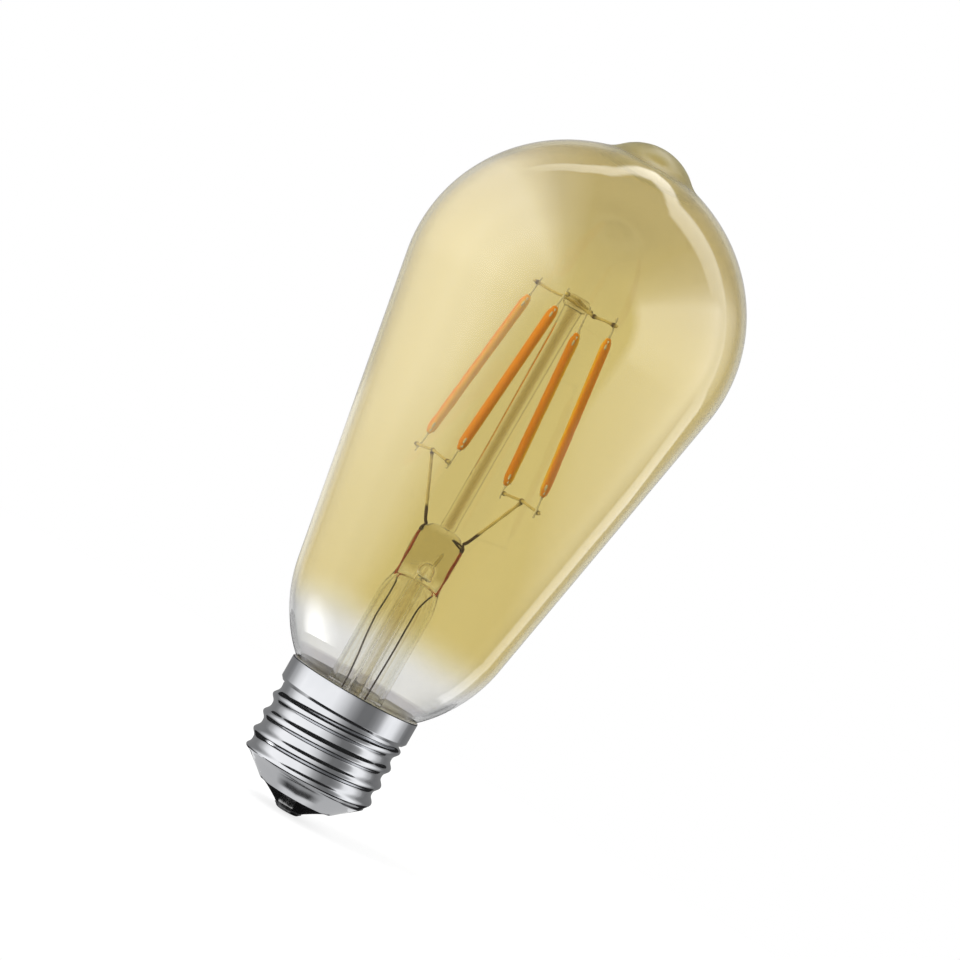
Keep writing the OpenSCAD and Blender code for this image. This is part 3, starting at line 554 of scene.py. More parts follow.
# Stem: rings that go from the round flare tube to the flat press
stemShape = {
    "rim": 0.9, "rimIn": 9.4, "rimLip": 0.1, "sealGap": 0.02, "around": 72, "sharp": 60,
    "bore": 0.9, "boreTop": 51.0, "boreFoot": 48.4,
    # dents: middle, half sizes and turn in the plane of the press, in millimetres and degrees
    "dents": [
        ((0.4, -0.4, 51.6), (1.6, 1.15, 1.75), 12), ((1.2, -0.5, 50.7), (1.0, 0.9, 0.8), 30),
        ((1.35, -0.7, 54.4), (0.42, 0.6, 1.8), 8),
        ((-2.1, -2.25, 52.7), (1.7, 0.55, 0.26), -24), ((-2.5, -2.3, 51.9), (1.3, 0.5, 0.2), -20),
    ],
    # each ring is its height, half its width, half its depth and how square it is (2 is round)
    "outside": [
        (17.1, 10.3, 10.3, 2), (18.0, 9.0, 9.0, 2), (19.4, 7.6, 7.6, 2), (21.0, 6.5, 6.5, 2),
        (23.1, 5.85, 5.85, 2), (25.5, 5.7, 5.7, 2), (35.0, 5.7, 5.7, 2), (43.0, 5.7, 5.7, 2),
        (44.4, 5.66, 5.55, 2), (45.7, 5.52, 5.2, 2), (46.9, 5.26, 4.65, 2), (48.0, 4.95, 4.0, 2.05),
        (49.0, 4.72, 3.4, 2.1), (50.0, 4.6, 2.9, 2.2), (51.0, 4.6, 2.55, 2.35), (52.2, 4.7, 2.3, 2.45),
        (54.2, 4.86, 2.14, 2.6), (56.2, 4.88, 2.06, 2.6), (57.5, 4.76, 2.0, 2.5), (58.6, 4.38, 1.9, 2.4),
        (59.5, 3.75, 1.75, 2.3), (60.1, 2.95, 1.55, 2.2), (60.42, 2.0, 1.3, 2.1),
    ],
    "inside": [
        (18.1, 8.05, 8.05, 2), (19.6, 6.6, 6.6, 2), (21.2, 5.55, 5.55, 2), (23.3, 4.95, 4.95, 2),
        (25.7, 4.8, 4.8, 2), (35.0, 4.8, 4.8, 2), (43.0, 4.8, 4.8, 2), (44.4, 4.76, 4.65, 2),
        (45.7, 4.62, 4.3, 2), (46.9, 4.36, 3.75, 2), (48.0, 4.05, 3.1, 2.05), (48.7, 3.75, 2.6, 2.1),
        (49.15, 3.2, 2.2, 2.1), (49.38, 2.4, 1.8, 2),
    ],
}


def addRing(bm, z, wide, deep, square, around):
    verts = bmesh.ops.create_circle(bm, segments=around, radius=1)["verts"]
    for vert in verts:
        x = math.copysign(abs(vert.co.x) ** (2 / square), vert.co.x)
        y = math.copysign(abs(vert.co.y) ** (2 / square), vert.co.y)
        vert.co = (x * wide * mm, y * deep * mm, z * mm)
    return list({edge for vert in verts for edge in vert.link_edges})


def bridgeRings(bm, rings):
    for lower, upper in zip(rings, rings[1:]):
        bmesh.ops.bridge_loops(bm, edges=lower + upper)


def carve(piece, bm):  # cuts the closed shape in bm out of a piece
    cutter = placeMesh(bm, "cutter", piece.data.materials[0])
    cut = piece.modifiers.new("cut", "BOOLEAN")
    cut.object = cutter
    cut.solver = "EXACT"
    shaped = piece.evaluated_get(bpy.context.evaluated_depsgraph_get())
    piece.data = bpy.data.meshes.new_from_object(shaped)
    piece.modifiers.clear()
    bpy.data.objects.remove(cutter)
    smoothFaces(piece.data, stemShape["sharp"])


def makeStem():
    bm = bmesh.new()
    around = stemShape["around"]
    neck = glass["neck"] / 2
    rim = sealZ - stemShape["rim"]
    outer = [(rim, neck, neck, 2), (sealZ - stemShape["sealGap"], neck, neck, 2)] + stemShape["outside"]
    inner = [(rim + stemShape["rimLip"], stemShape["rimIn"], stemShape["rimIn"], 2)] + stemShape["inside"]
    outside = [addRing(bm, *ring, around) for ring in outer]
    inside = [addRing(bm, *ring, around) for ring in inner]
    bridgeRings(bm, outside)
    bridgeRings(bm, inside)
    bmesh.ops.bridge_loops(bm, edges=outside[0] + inside[0])
    bmesh.ops.holes_fill(bm, edges=outside[-1] + inside[-1], sides=0)
    bmesh.ops.recalc_face_normals(bm, faces=bm.faces)
    piece = finishPiece(bm, stemWall, "stem_flare", sharp=stemShape["sharp"])
    # the bore over the exhaust tube, then the vent that was blown from it, with its tail and creases
    bore = stemShape["bore"]
    roundZ = stemShape["boreTop"] - bore
    bm, tip = startAt(0, stemShape["boreFoot"])
    tip = lineTo(bm, tip, (bore, stemShape["boreFoot"]), (bore, roundZ))
    tip = arcTo(bm, tip, (0, roundZ), 90, 10)
    tip.co.x = 0
    spinRound(bm, 32)
    carve(piece, bm)
    for middle, halves, turn in stemShape["dents"]:
        bm = bmesh.new()
        bmesh.ops.create_uvsphere(
            bm, u_segments=28, v_segments=16, radius=mm,
            matrix=Matrix.Translation(Vector(middle) * mm) @ Matrix.Rotation(math.radians(turn), 4, "Y")
            @ Matrix.Diagonal((*halves, 1)))
        carve(piece, bm)


# shapes: how far out, and how far above the piece's lowest point
tube = {
    "out": 1.6, "bore": 0.9, "top": 49.2, "tip": 13.2, "around": 48,
    "outShape": ((0.3, 0.1), (0.5, 0.4), (0.75, 1.0), (1.1, 1.9), (1.4, 2.6), (1.6, 3.4)),
    "boreShape": ((0.9, 3.8), (0.7, 3.1), (0.35, 2.4), (0, 1.9)),
}
rod = {
    "foot": 60.0, "neck": 1.75, "neckHigh": 3, "flare": 0.15, "top": 107.6, "around": 48,
    "footShape": ((0.64, 0.05), (1.12, 0.2), (1.472, 0.48), (1.6, 0.9), (1.5, 2.5), (1.5, 18)),
}
bead = {
    "wide": 2.4, "low": 107.5, "high": 2.6, "edge": 0.75, "dish": 0.15, "around": 48,
    # waves round the bead, how far each swells it, and its start
    "sag": ((2, 0.06, 0.7), (3, 0.03, 0.0)),
}


def makeExhaustTube():  # drawn down to a point where it was sealed off
    bm, tip = startAt(0, tube["tip"])
    tip = lineTo(bm, tip, *((out, tube["tip"] + up) for out, up in tube["outShape"]))
    tip = lineTo(bm, tip, (tube["out"], tube["top"]), (tube["bore"], tube["top"]))
    lineTo(bm, tip, *((out, tube["tip"] + up) for out, up in tube["boreShape"]))
    spinRound(bm, tube["around"])
    finishPiece(bm, stemWall, "exhaust_tube")


def makeArbor():  # a glass rod that spreads where it is fused to the press, and thickens towards the bead
    bm, tip = startAt(0, rod["foot"])
    tip = lineTo(bm, tip, *((out, rod["foot"] + up) for out, up in rod["footShape"]))
    lineTo(bm, tip, (rod["neck"], rod["top"] - rod["neckHigh"]), (rod["neck"] + rod["flare"], rod["top"]),
           (0, rod["top"]))
    spinRound(bm, rod["around"])
    finishPiece(bm, stemWall, "arbor_rod")


def makeBead():  # the rod's end, melted to a button round the upper wires
    core = bead["wide"] - bead["edge"]
    top = bead["low"] + bead["high"]
    bm, tip = startAt(0, bead["low"])
    tip = lineTo(bm, tip, (core, bead["low"]))
    tip = arcTo(bm, tip, (core, bead["low"] + bead["edge"]), 90, 8)
    tip = lineTo(bm, tip, (bead["wide"], top - bead["edge"]))
    tip = arcTo(bm, tip, (core, top - bead["edge"]), 90, 8)
    lineTo(bm, tip, (0, top - bead["dish"]))
    spinRound(bm, bead["around"])
    for vert in bm.verts:  # molten glass sags unevenly
        turn = math.atan2(vert.co.y, vert.co.x)
        swell = 1 + sum(rise * math.sin(waves * turn + start) for waves, rise, start in bead["sag"])
        vert.co.x *= swell
        vert.co.y *= swell
    finishPiece(bm, stemWall, "arbor_bead")


makeStem()
makeExhaustTube()
makeArbor()
makeBead()
print("stem made")


# Wires: a ring at each point of the way, with its own radius, and how much of a weld is there
wires = {
    "lowerRing": 13.7, "upperRing": 8.55, "lowerTurn": 24, "upperTurn": 18.3, "lowerZ": 71.4,
    "upperZ": 108.83, "weldTurns": (180, 270, 90, 360), "pastWeld": 0.9, "beside": 0.52,
    "weldReach": 0.5, "weldSwell": 0.7, "blunt": 0.6,
    "cross": 0.275, "lead": 0.35, "outer": 0.175, "dumet": 0.25, "crossLift": 0.3, "bow": 0.5,
    # share of the way along an upper cross wire, and its rise there
    "upperBends": ((0.2, 0.1), (0.38, 0.3), (0.5, 0.1), (0.62, -0.1), (0.76, -0.35), (0.9, -0.1)),
    "upperWeld": 5,
    # the lead-in's foot, the bends round it, its weld to the dumet wire, and its end under the cross wire
    "leadFoot": (4.1, 0, 59.21), "leadBends": ((0.15, 0, -1.4), (0.1, 0, -0.6), (-0.1, 0, 0.25)),
    "leadKnot": 5, "leadWeld": 0.6, "leadThin": 0.9, "footSwell": 0.6, "topSwell": 0.3,
    "leadUnder": 0.15, "leadEnd": 0.12, "leadEndThin": 0.7,
    "eyeMiddle": (3.2, -0.9, 58.85), "eyeHalf": (1.35, 0, -0.3), "eyeOpen": 0.42, "eyeSlim": 0.45,
    "eyeWire": 0.2, "eyeSteps": 24,
    "dumetLine": [
        (3.75, 0, 48.2), (4.0, 0, 49.8), (4.12, -0.1, 51.5), (4.1, -0.15, 54), (4.2, -0.1, 56.5),
        (4.15, 0, 59)],
    # the outer leads were bent by hand, so the two differ
    "outer_lead_right": [
        (3.75, 0, 48.2), (3.2, -0.1, 46.9), (2.6, -0.5, 44.5), (2.5, -1.2, 40.5), (2.5, -1.7, 36),
        (2.4, -2.0, 31), (2.3, -2.2, 26), (2.3, -2.2, 20), (2.3, -2.2, 9.6)],
    "outer_lead_left": [
        (-3.75, 0, 48.2), (-3.5, -0.1, 46.9), (-3.45, -0.3, 44.5), (-3.6, -0.7, 40.5), (-3.35, -1.2, 36.5),
        (-2.8, -1.8, 32), (-2.4, -2.1, 27), (-2.3, -2.2, 22), (-2.3, -2.2, 9.6)],
}


def weldRing(level):  # the four welds on the lower or the upper cross wires
    welds = []
    for start in wires["weldTurns"]:
        turn = math.radians(start - wires[level + "Turn"])
        radius = wires[level + "Ring"]
        welds.append(Vector((radius * math.cos(turn), radius * math.sin(turn), wires[level + "Z"])))
    return welds


lowerWelds = weldRing("lower")
upperWelds = weldRing("upper")


def sweepWire(bm, way, sides=16):  # way: (point, radius, weld) in millimetres
    weldLayer = bm.verts.layers.float.get("weld") or bm.verts.layers.float.new("weld")
    rings = []
    last = len(way) - 1
    for i, (point, radius, weld) in enumerate(way):
        ahead = way[min(i + 1, last)][0] - way[max(i - 1, 0)][0]
        place = Matrix.Translation(point * mm) @ ahead.to_track_quat("Z", "Y").to_matrix().to_4x4()
        verts = bmesh.ops.create_circle(
            bm, cap_ends=i in (0, last), segments=sides, radius=radius * mm, matrix=place)["verts"]
        for vert in verts:
            vert[weldLayer] = weld
        rings.append(list({edge for vert in verts for edge in vert.link_edges}))
    bridgeRings(bm, rings)
    bmesh.ops.recalc_face_normals(bm, faces=bm.faces)


def makeWire(way, sides, material, node):
    bm = bmesh.new()
    sweepWire(bm, way, sides)
    finishPiece(bm, material, node)


def smoothWay(points, steps):  # a soft line through points, with the tangent of its neighbours at each
    last = len(points) - 1
    line = []
    for i in range(last):
        before = points[max(i - 1, 0)]
        after = points[min(i + 2, last)]
        for k in range(steps):
            t = k / steps
            leave = (points[i + 1] - before) / 2
            arrive = (after - points[i]) / 2
            line.append(
                points[i] * (2 * t ** 3 - 3 * t ** 2 + 1) + leave * (t ** 3 - 2 * t ** 2 + t)
                + points[i + 1] * (3 * t ** 2 - 2 * t ** 3) + arrive * (t ** 3 - t ** 2))
    return line + [points[last]]


def nearness(point, weld, reach):
    return math.exp(-((point - weld).length / reach) ** 2)


def weldedWay(points, radius, welds):  # a wire with blunt ends, swollen and burnt at its welds
    line = smoothWay(points, 24)
    way = [(line[0], radius * wires["blunt"], 0)]
    for point in line[1:-1]:
        near = max([nearness(point, weld, wires["weldReach"]) for weld in welds])
        way.append((point, radius * (1 + wires["weldSwell"] * near), near))
    return way + [(line[-1], radius * wires["blunt"], 0)]


def besideWelds(start, end):  # a cross wire lies on the outer side of the pins that it is welded to
    run = (end - start).normalized()
    beside = Vector((run.y, -run.x, 0)) * wires["beside"]
    return start + beside, end + beside, run * wires["pastWeld"]


def makeCrossWires():
    for node, i, j in (("lower_cross_wire_left", 0, 1), ("lower_cross_wire_right", 3, 2)):
        start, end, past = besideWelds(lowerWelds[i], lowerWelds[j])
        middle = (start + end) / 2 + Vector((0, 0, wires["bow"]))
        points = [start - past, start.lerp(middle, 0.55), middle, middle.lerp(end, 0.45), end + past]
        way = weldedWay(points, wires["cross"], (start, middle, end))
        makeWire(way, 16, nickelIron, node)
    for node, i, j, side in (("upper_cross_wire_a", 0, 3, -1), ("upper_cross_wire_b", 1, 2, 1)):
        start, end, past = besideWelds(upperWelds[i], upperWelds[j])
        lift = Vector((0, 0, side * wires["crossLift"]))
        points = [start - past]
        for share, rise in wires["upperBends"]:
            points.append(start.lerp(end, share) + lift + Vector((0, 0, rise)))
        points.append(end + past + lift)
        way = weldedWay(points, wires["cross"], (points[0] + past, points[wires["upperWeld"]], end + lift))
        makeWire(way, 16, nickelIron, node)


def makeLeads():
    start, end = besideWelds(lowerWelds[3], lowerWelds[2])[:2]
    top = (start + end) / 2 + Vector((0, 0, wires["bow"] - wires["cross"] - wires["leadUnder"]))
    low = Vector(wires["leadFoot"])
    bends = [low + Vector(bend) for bend in wires["leadBends"]]
    line = smoothWay([*bends, low.lerp(top, 0.1), low.lerp(top, 0.5), top], 9)
    knot = line[wires["leadKnot"]]
    for node, half in (("lead_in_wire_right", 0), ("lead_in_wire_left", 180)):
        turned = Matrix.Rotation(math.radians(half), 3, "Z")
        way = []
        for point in line:
            footNear = nearness(point, knot, wires["leadWeld"])
            topNear = nearness(point, top, wires["weldReach"])
            thick = wires["leadThin"] + wires["footSwell"] * footNear + wires["topSwell"] * topNear
            way.append((turned @ point, wires["lead"] * thick, max(footNear, topNear)))
        stub = way[-1][0] + Vector((0, 0, wires["leadEnd"]))
        way.append((stub, wires["lead"] * wires["leadEndThin"], 1))
        bm = bmesh.new()
        sweepWire(bm, way)
        if half == 0:  # the right one's end is bent round to an eye where it is welded
            eye = []
            for k in range(wires["eyeSteps"] + 1):
                turn = math.tau * k / wires["eyeSteps"]
                slim = 1 - wires["eyeSlim"] + wires["eyeSlim"] * math.cos(turn)
                rise = Vector((0, 0, wires["eyeOpen"] * slim * math.sin(turn)))
                bend = Vector(wires["eyeMiddle"]) + Vector(wires["eyeHalf"]) * math.cos(turn) + rise
                eye.append((bend, wires["eyeWire"], 1))
            sweepWire(bm, eye, 10)
        finishPiece(bm, nickelIron, node)
    for node in ("outer_lead_right", "outer_lead_left"):
        line = smoothWay([Vector(point) for point in wires[node]], 8)
        makeWire([(point, wires["outer"], 0) for point in line], 12, outerLead, node)
    for node, side in (("dumet_wire_right", 1), ("dumet_wire_left", -1)):
        line = smoothWay([Vector((x * side, y, z)) for x, y, z in wires["dumetLine"]], 6)
        makeWire([(point, wires["dumet"], 0) for point in line], 12, dumet, node)


makeCrossWires()
makeLeads()
print("wires made")


# Filaments: each is made along Z about the middle of its coat, then turned onto the line between its welds
filament = {
    "half": 16.0, "flat": 0.9, "drops": (0, 0, 1.4, 0), "twists": (0, 0, 150, 0), "around": 40, "rows": 24,
    # distance in from the end, and radius
    "endShape": ((0.0, 0.32), (0.08, 0.45), (0.35, 0.62), (0.8, 0.8), (1.35, 0.94), (1.9, 1.0), (2.6, 1.0)),
    "tail": 2.9, "pastWeld": 1.2, "pin": 0.225, "pinRows": 12, "pinSway": 0.06, "pinWaves": 5, "pinEnd": 0.05,
    # the plate and the crimp round it: thickness, width, and from where to where past the coat's end
    "blocks": ((0.3, 0.9, -1.6, 0.3), (1.2, 1.32, -1.55, -0.55)), "bevel": 0.09,
    "eyeIn": 1.9, "eyeOut": 0.9, "eyeHalves": (0.14, 0.22, 0.62),
}


def filamentPlace(i):
    line = upperWelds[i] - lowerWelds[i]
    lean = math.acos(line.z / line.length)
    turn = math.atan2(line.y, line.x)
    return (Matrix.Translation((upperWelds[i] + lowerWelds[i]) / 2 * mm) @ Matrix.Rotation(turn, 4, "Z")
            @ Matrix.Rotation(lean, 4, "Y") @ Matrix.Translation((0, 0, -filament["drops"][i] * mm)))


def makeCoat(i):
    half = filament["half"]
    bm, tip = startAt(0, -half)
    tip = lineTo(bm, tip, *((radius, inset - half) for inset, radius in filament["endShape"]))
    tip = lineTo(bm, tip, *((radius, half - inset) for inset, radius in reversed(filament["endShape"])))
    lineTo(bm, tip, (0, half))
    middle = [edge for edge in bm.edges if edge.calc_length() > half / 2 * mm]
    bmesh.ops.subdivide_edges(bm, edges=middle, cuts=filament["rows"])
    spinRound(bm, filament["around"])
    paleLayer = bm.verts.layers.float.new("paleSide")
    twist = math.radians(filament["twists"][i])
    for vert in bm.verts:
        turn = math.atan2(vert.co.y, vert.co.x)
        vert[paleLayer] = 0.5 + 0.5 * math.cos(turn - twist)
        vert.co.x *= filament["flat"]
    bmesh.ops.transform(bm, matrix=filamentPlace(i), verts=bm.verts)
    finishPiece(bm, phosphor, "filament_coat_%d" % (i + 1))


def makeTabs(i):  # a plate in each end of the coat, with its crimp, and a pin that runs past the weld
    half = filament["half"]
    bm = bmesh.new()
    for end in (-1, 1):
        for thick, wide, low, high in filament["blocks"]:
            made = bmesh.ops.create_cube(
                bm, size=1, matrix=Matrix.Translation((0, 0, end * (half + (low + high) / 2) * mm))
                @ Matrix.Diagonal((thick * mm, wide * mm, (high - low) * mm, 1)))
            edges = list({edge for vert in made["verts"] for edge in vert.link_edges})
            bmesh.ops.bevel(
                bm, geom=edges, offset=filament["bevel"] * mm, segments=2, profile=0.5, affect="EDGES",
                material=-1)
        room = filament["tail"] + filament["pastWeld"] + end * filament["drops"][i]
        way = [(Vector((0, 0, end * half)), filament["pin"], 0)]
        for k in range(1, filament["pinRows"] + 1):
            share = k / filament["pinRows"]
            sway = filament["pinSway"] * math.sin(filament["pinWaves"] * share + i)
            way.append((Vector((0, sway, end * (half + room * share))), filament["pin"], 0))
        pinEnd = Vector((0, sway, end * (half + room + filament["pinEnd"])))
        way.append((pinEnd, filament["pin"] * wires["blunt"], 0))
        sweepWire(bm, way, 12)
        # at the plate's stamped eye a bright bead sits on the coat's faces toward and away from the camera: a
        # painted glint, standing in for the crimp's glint through the coat
        front = filamentPlace(i).to_3x3().inverted() @ Vector((0, -1, 0))
        for turn in (math.atan2(front.y, front.x), math.atan2(-front.y, -front.x)):
            out = Matrix.Rotation(turn, 4, "Z") @ Matrix.Translation(
                (filament["eyeOut"] * mm, 0, end * (half - filament["eyeIn"]) * mm))
            bmesh.ops.create_uvsphere(
                bm, u_segments=16, v_segments=10, radius=mm,
                matrix=out @ Matrix.Diagonal((*filament["eyeHalves"], 1)))
    bmesh.ops.transform(bm, matrix=filamentPlace(i), verts=bm.verts)
    finishPiece(bm, tabPlate, "filament_tabs_%d" % (i + 1), sharp=40)


for i in range(4):
    makeCoat(i)
    makeTabs(i)
print("filaments made")

dress = {
    "filament_strip": alumina, "filament_chips": sapphire, "filament_tabs": tabPlate,
    "filament_coat": phosphor, "dumet_wire": dumet, "stem_flare": stemWall, "exhaust_tube": stemWall,
    "arbor_rod": stemWall, "arbor_bead": stemWall, "cap_insulator": vitrite, "centre_contact": solder,
    "basing_cement": cement, "driver_liner": pbt, "driver_board": laminate, "radio_board": laminate,
    "live_wire": redPvc, "neutral_wire": bluePvc, "bridge_rectifier": epoxy, "driver_chip": epoxy,
    "radio_chip": epoxy, "fuse_resistor": lacquer, "chip_passives": ceramic, "storage_capacitor": sleeve,
    "inductor_core": ferrite, "inductor_winding": copper, "antenna_track": copper,
}
for name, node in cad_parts.items():
    kind = name.rstrip("_1234").removesuffix("_left").removesuffix("_right")
    node.data.materials.clear()
    node.data.materials.append(dress.get(kind, nickelIron))
print("CAD nodes dressed")


# Camera at the photograph's angle: side on, with the lamp leaning to the right of the frame
shot = {"distance": 600, "right": 0.726, "height": 71.35, "lean": 29.75, "lens": 120.9, "sensor": 36}


def makeCamera():
    data = bpy.data.cameras.new("camera")
    data.lens = shot["lens"]
    data.sensor_width = shot["sensor"]
    data.sensor_fit = "HORIZONTAL"
    data.clip_end = 100
    camera = bpy.data.objects.new("camera", data)
    camera.matrix_world = (
        Matrix.Translation((shot["right"] * mm, -shot["distance"] * mm, shot["height"] * mm))
        @ Matrix.Rotation(math.radians(90), 4, "X") @ Matrix.Rotation(math.radians(shot["lean"]), 4, "Z"))
    bpy.context.collection.objects.link(camera)
    bpy.context.scene.camera = camera


# Studio. A level is a strength of light; the lists give levels or sizes by an angle or a distance.
studio = {
    "fill": 0.55,
    # turn: degrees to the right of the camera, seen from the lamp; up: degrees above it; sizes in metres
    "lamps": {
        "keyLamp": {"turn": -55, "up": 30, "away": 1.2, "wide": 0.9, "tall": 1.1, "power": 14},
        "rimLamp": {"turn": 112, "up": 15, "away": 1.0, "wide": 0.4, "tall": 1.4, "power": 9},
    },
    # what metal and glass mirror, and what is seen through glass: patches of light on a dome round the lamp
    # off: degrees off the camera's side; round: degrees anticlockwise from the lamp's right, from -45 to 315;
    # their levels are multiplied; middle moves a patch out or in on its way round, and width narrows it
    "dome": 0.22, "domeTurns": 240, "domeRings": 120,
    "mirrored": {
        "wall": {"off": [(0, 0.1), (95, 0.1), (120, 0.2), (140, 0.5), (180, 0.8)], "round": [(0, 1)]},
        "keyBox": {
            "off": [(8, 0), (22, 1.5), (33, 3.4), (45, 4.9), (57, 6.4), (80, 6.0), (100, 4.0), (112, 2.9),
                    (125, 1.7), (140, 0.9), (150, 0.5), (180, 0.3)],
            "round": [(104, 0), (118, 0.3), (134, 1), (172, 1), (184, 0.87), (190, 0.8), (197, 0.55),
                      (205, 0.4), (212, 0.28), (225, 0)]},
        "leftLow": {
            "off": [(112, 0), (128, 1.5), (140, 1.3), (160, 0.9), (180, 0.8)],
            "round": [(178, 0), (186, 1), (205, 1), (222, 0)]},
        "neckSpot": {
            "off": [(68, 0), (80, 3), (90, 8), (98, 8), (114, 0)],
            "round": [(208, 0), (218, 0.5), (226, 1), (236, 1), (246, 0)]},
        "rightBox": {
            "off": [(38, 0), (45, 4.3), (100, 4.2), (114, 1.6), (130, 0)],
            "round": [(-45, 0.05), (-19, 0.06), (-16, 0.23), (-13, 0.38), (-7, 0.52), (0, 0.78), (15, 0.95),
                      (40, 1), (46, 0.55), (51, 0.3), (58, 0.15), (66, 0)]},
        "archStrip": {
            "off": [(-9, 0), (-6.5, 2.9), (6.5, 2.9), (9, 0)],
            "round": [(-45, 0.6), (-15, 0.8), (10, 0.95), (30, 1), (60, 1), (85, 1.15), (110, 1.1),
                      (135, 0.95), (155, 0)],
            "width": [(-45, 1), (70, 1), (90, 0.85), (105, 0.5), (150, 0.4)],
            "middle": [(-45, 114), (-25, 113), (-17, 119), (-4, 123), (2, 117), (12, 108), (30, 105),
                       (50, 101), (70, 100.5), (78, 101), (84, 113), (89, 117), (94, 113), (100, 102),
                       (110, 99), (128, 102), (140, 106)]},
        "toeTable": {
            "off": [(104, 0), (120, 0.85), (150, 0.85)], "round": [(238, 0), (246, 1), (294, 1), (300, 0)]},
    },
    "behind": {
        "wall": {"off": [(0, 0.85), (60, 0.75), (95, 0.42), (138, 0.42), (150, 1)], "round": [(0, 1)]},
        "table": {"off": [(60, 0), (85, 1)], "round": [(225, 0), (240, 1), (300, 1), (315, 0)]},
        "ceiling": {"off": [(60, 0), (85, 1)], "round": [(45, 0), (60, 1), (120, 1), (135, 0)]},
        "keyBox": {
            "off": [(20, 0), (40, 1.5), (110, 1.5), (135, 0.7)],
            "round": [(105, 0), (130, 1), (240, 1), (260, 0)]},
        "rightBox": {"off": [(80, 0), (95, 0.9), (135, 0.9)], "round": [(-45, 1), (60, 1), (80, 0)]},
    },
}


def makeWorld():  # white behind the lamp and in its glass and metal, and a softer fill on the rest
    world = bpy.data.worlds.new("studio")
    world.use_nodes = True
    world.node_tree.nodes.clear()
    add = partial(addNode, world.node_tree)
    rays = add("LightPath").node.outputs
    seen = add("Math", {0: rays["Is Camera Ray"], 1: rays["Is Glossy Ray"]}, operation="ADD")
    seen = add("Math", {0: seen, 1: rays["Is Transmission Ray"]}, operation="ADD", use_clamp=True)
    strength = add("MapRange", {0: seen, 3: studio["fill"], 4: 1.0})
    sky = add("Background", {"Color": "#FFFFFF", "Strength": strength})
    add("OutputWorld", {0: sky})
    bpy.context.scene.world = world


paper = {"shadow": 0.3, "level": 0.75, "near": 0.1, "far": 0.3, "white": "#F4F4F4", "half": 3.0, "drop": 0.3}


def makeFloor():  # white paper: it takes the lamp's shadow near the lamp, and is plain white further off
    material, add = newMaterial("whitePaper")
    place = add("TexCoord", out="Object")
    away = add("VectorMath", {0: place}, "Value", operation="LENGTH")
    near = add("MapRange", {
        0: away, 1: paper["near"], 2: paper["far"], 3: paper["shadow"], 4: 0.0},
        interpolation_type="SMOOTHSTEP")
    rest = add("MapRange", {0: near, 3: 1.0, 4: 1.0 - paper["level"]})
    white = add("BsdfDiffuse", {0: paper["white"]})
    lit = add("BsdfDiffuse", {0: near})
    glow = add("Emission", {"Strength": rest})
    seen = add("AddShader", {0: lit, 1: glow})
    bounce = add("LightPath", out="Is Diffuse Ray")
    mixed = add("MixShader", {0: bounce, 1: seen, 2: white})
    add("OutputMaterial", {0: mixed})
    material.cycles.emission_sampling = "NONE"
    bm = bmesh.new()
    bmesh.ops.create_grid(bm, x_segments=4, y_segments=4, size=paper["half"])
    bmesh.ops.translate(bm, vec=(0, 0, -paper["drop"] * mm), verts=bm.verts)
    floor = placeMesh(bm, "floor", material)
    # metal and glass see the dome instead
    floor.visible_glossy = False
    floor.visible_transmission = False


def makeLamps():  # light on the object; the dome stands in for them in metal and glass
    for name, size in studio["lamps"].items():
        data = bpy.data.lights.new(name, "AREA")
        data.shape = "RECTANGLE"
        data.size = size["wide"]
        data.size_y = size["tall"]
        data.energy = size["power"]
        lamp = bpy.data.objects.new(name, data)
        turn = math.radians(size["turn"])
        up = math.radians(size["up"])
        way = Vector((math.sin(turn) * math.cos(up), -math.cos(turn) * math.cos(up), math.sin(up)))
        lamp.location = Vector((0, 0, shot["height"] * mm)) + way * size["away"]
        lamp.rotation_euler = way.to_track_quat("Z", "Y").to_euler()
        lamp.visible_glossy = False
        lamp.visible_transmission = False
        bpy.context.collection.objects.link(lamp)


def levelAt(rows, at):  # the level between the two nearest rows
    if at <= rows[0][0]:
        return rows[0][1]
    for (start, low), (end, high) in zip(rows, rows[1:]):
        if at <= end:
            return low + (high - low) * (at - start) / (end - start)
    return rows[-1][1]


def patchLevel(patches, way):  # the strongest patch wins
    off = math.degrees(math.acos(max(-1, min(1, -way.y))))
    around = (math.degrees(math.atan2(way.z, way.x)) + 45) % 360 - 45
    level = 0
    for patch in patches.values():
        middle = levelAt(patch.get("middle", [(0, 0)]), around)
        width = levelAt(patch.get("width", [(0, 1)]), around)
        level = max(level, levelAt(patch["off"], (off - middle) / width) * levelAt(patch["round"], around))
    return level


def glowBy():  # each vertex holds its level of light, one for mirrors and one for a look through glass
    material, add = newMaterial("studioLight")
    mirrored = add("Attribute", out="Fac", attribute_name="mirrored")
    behind = add("Attribute", out="Fac", attribute_name="behind")
    passed = add("LightPath", out="Is Transmission Ray")
    level = add("Mix", {0: passed, 2: mirrored, 3: behind}, data_type="FLOAT")
    glow = add("Emission", {"Strength": level})
    add("OutputMaterial", {0: glow})
    material.cycles.emission_sampling = "NONE"
    return material


def standRound(bm, name, *hidden):  # only mirrors and glass see it, and the rays in hidden don't either
    stood = placeMesh(bm, name, studioLight)
    for ray in ("camera", "diffuse", "volume_scatter", "shadow", *hidden):
        setattr(stood, "visible_" + ray, False)


def makeDome():  # softboxes and dark walls
    heart = Vector((0, 0, shot["height"] * mm))
    bm = bmesh.new()
    bmesh.ops.create_uvsphere(
        bm, u_segments=studio["domeTurns"], v_segments=studio["domeRings"], radius=studio["dome"],
        matrix=Matrix.Translation(heart))
    for name in ("mirrored", "behind"):
        layer = bm.verts.layers.float.new(name)
        for vert in bm.verts:
            vert[layer] = patchLevel(studio[name], (vert.co - heart).normalized())
    standRound(bm, "dome")


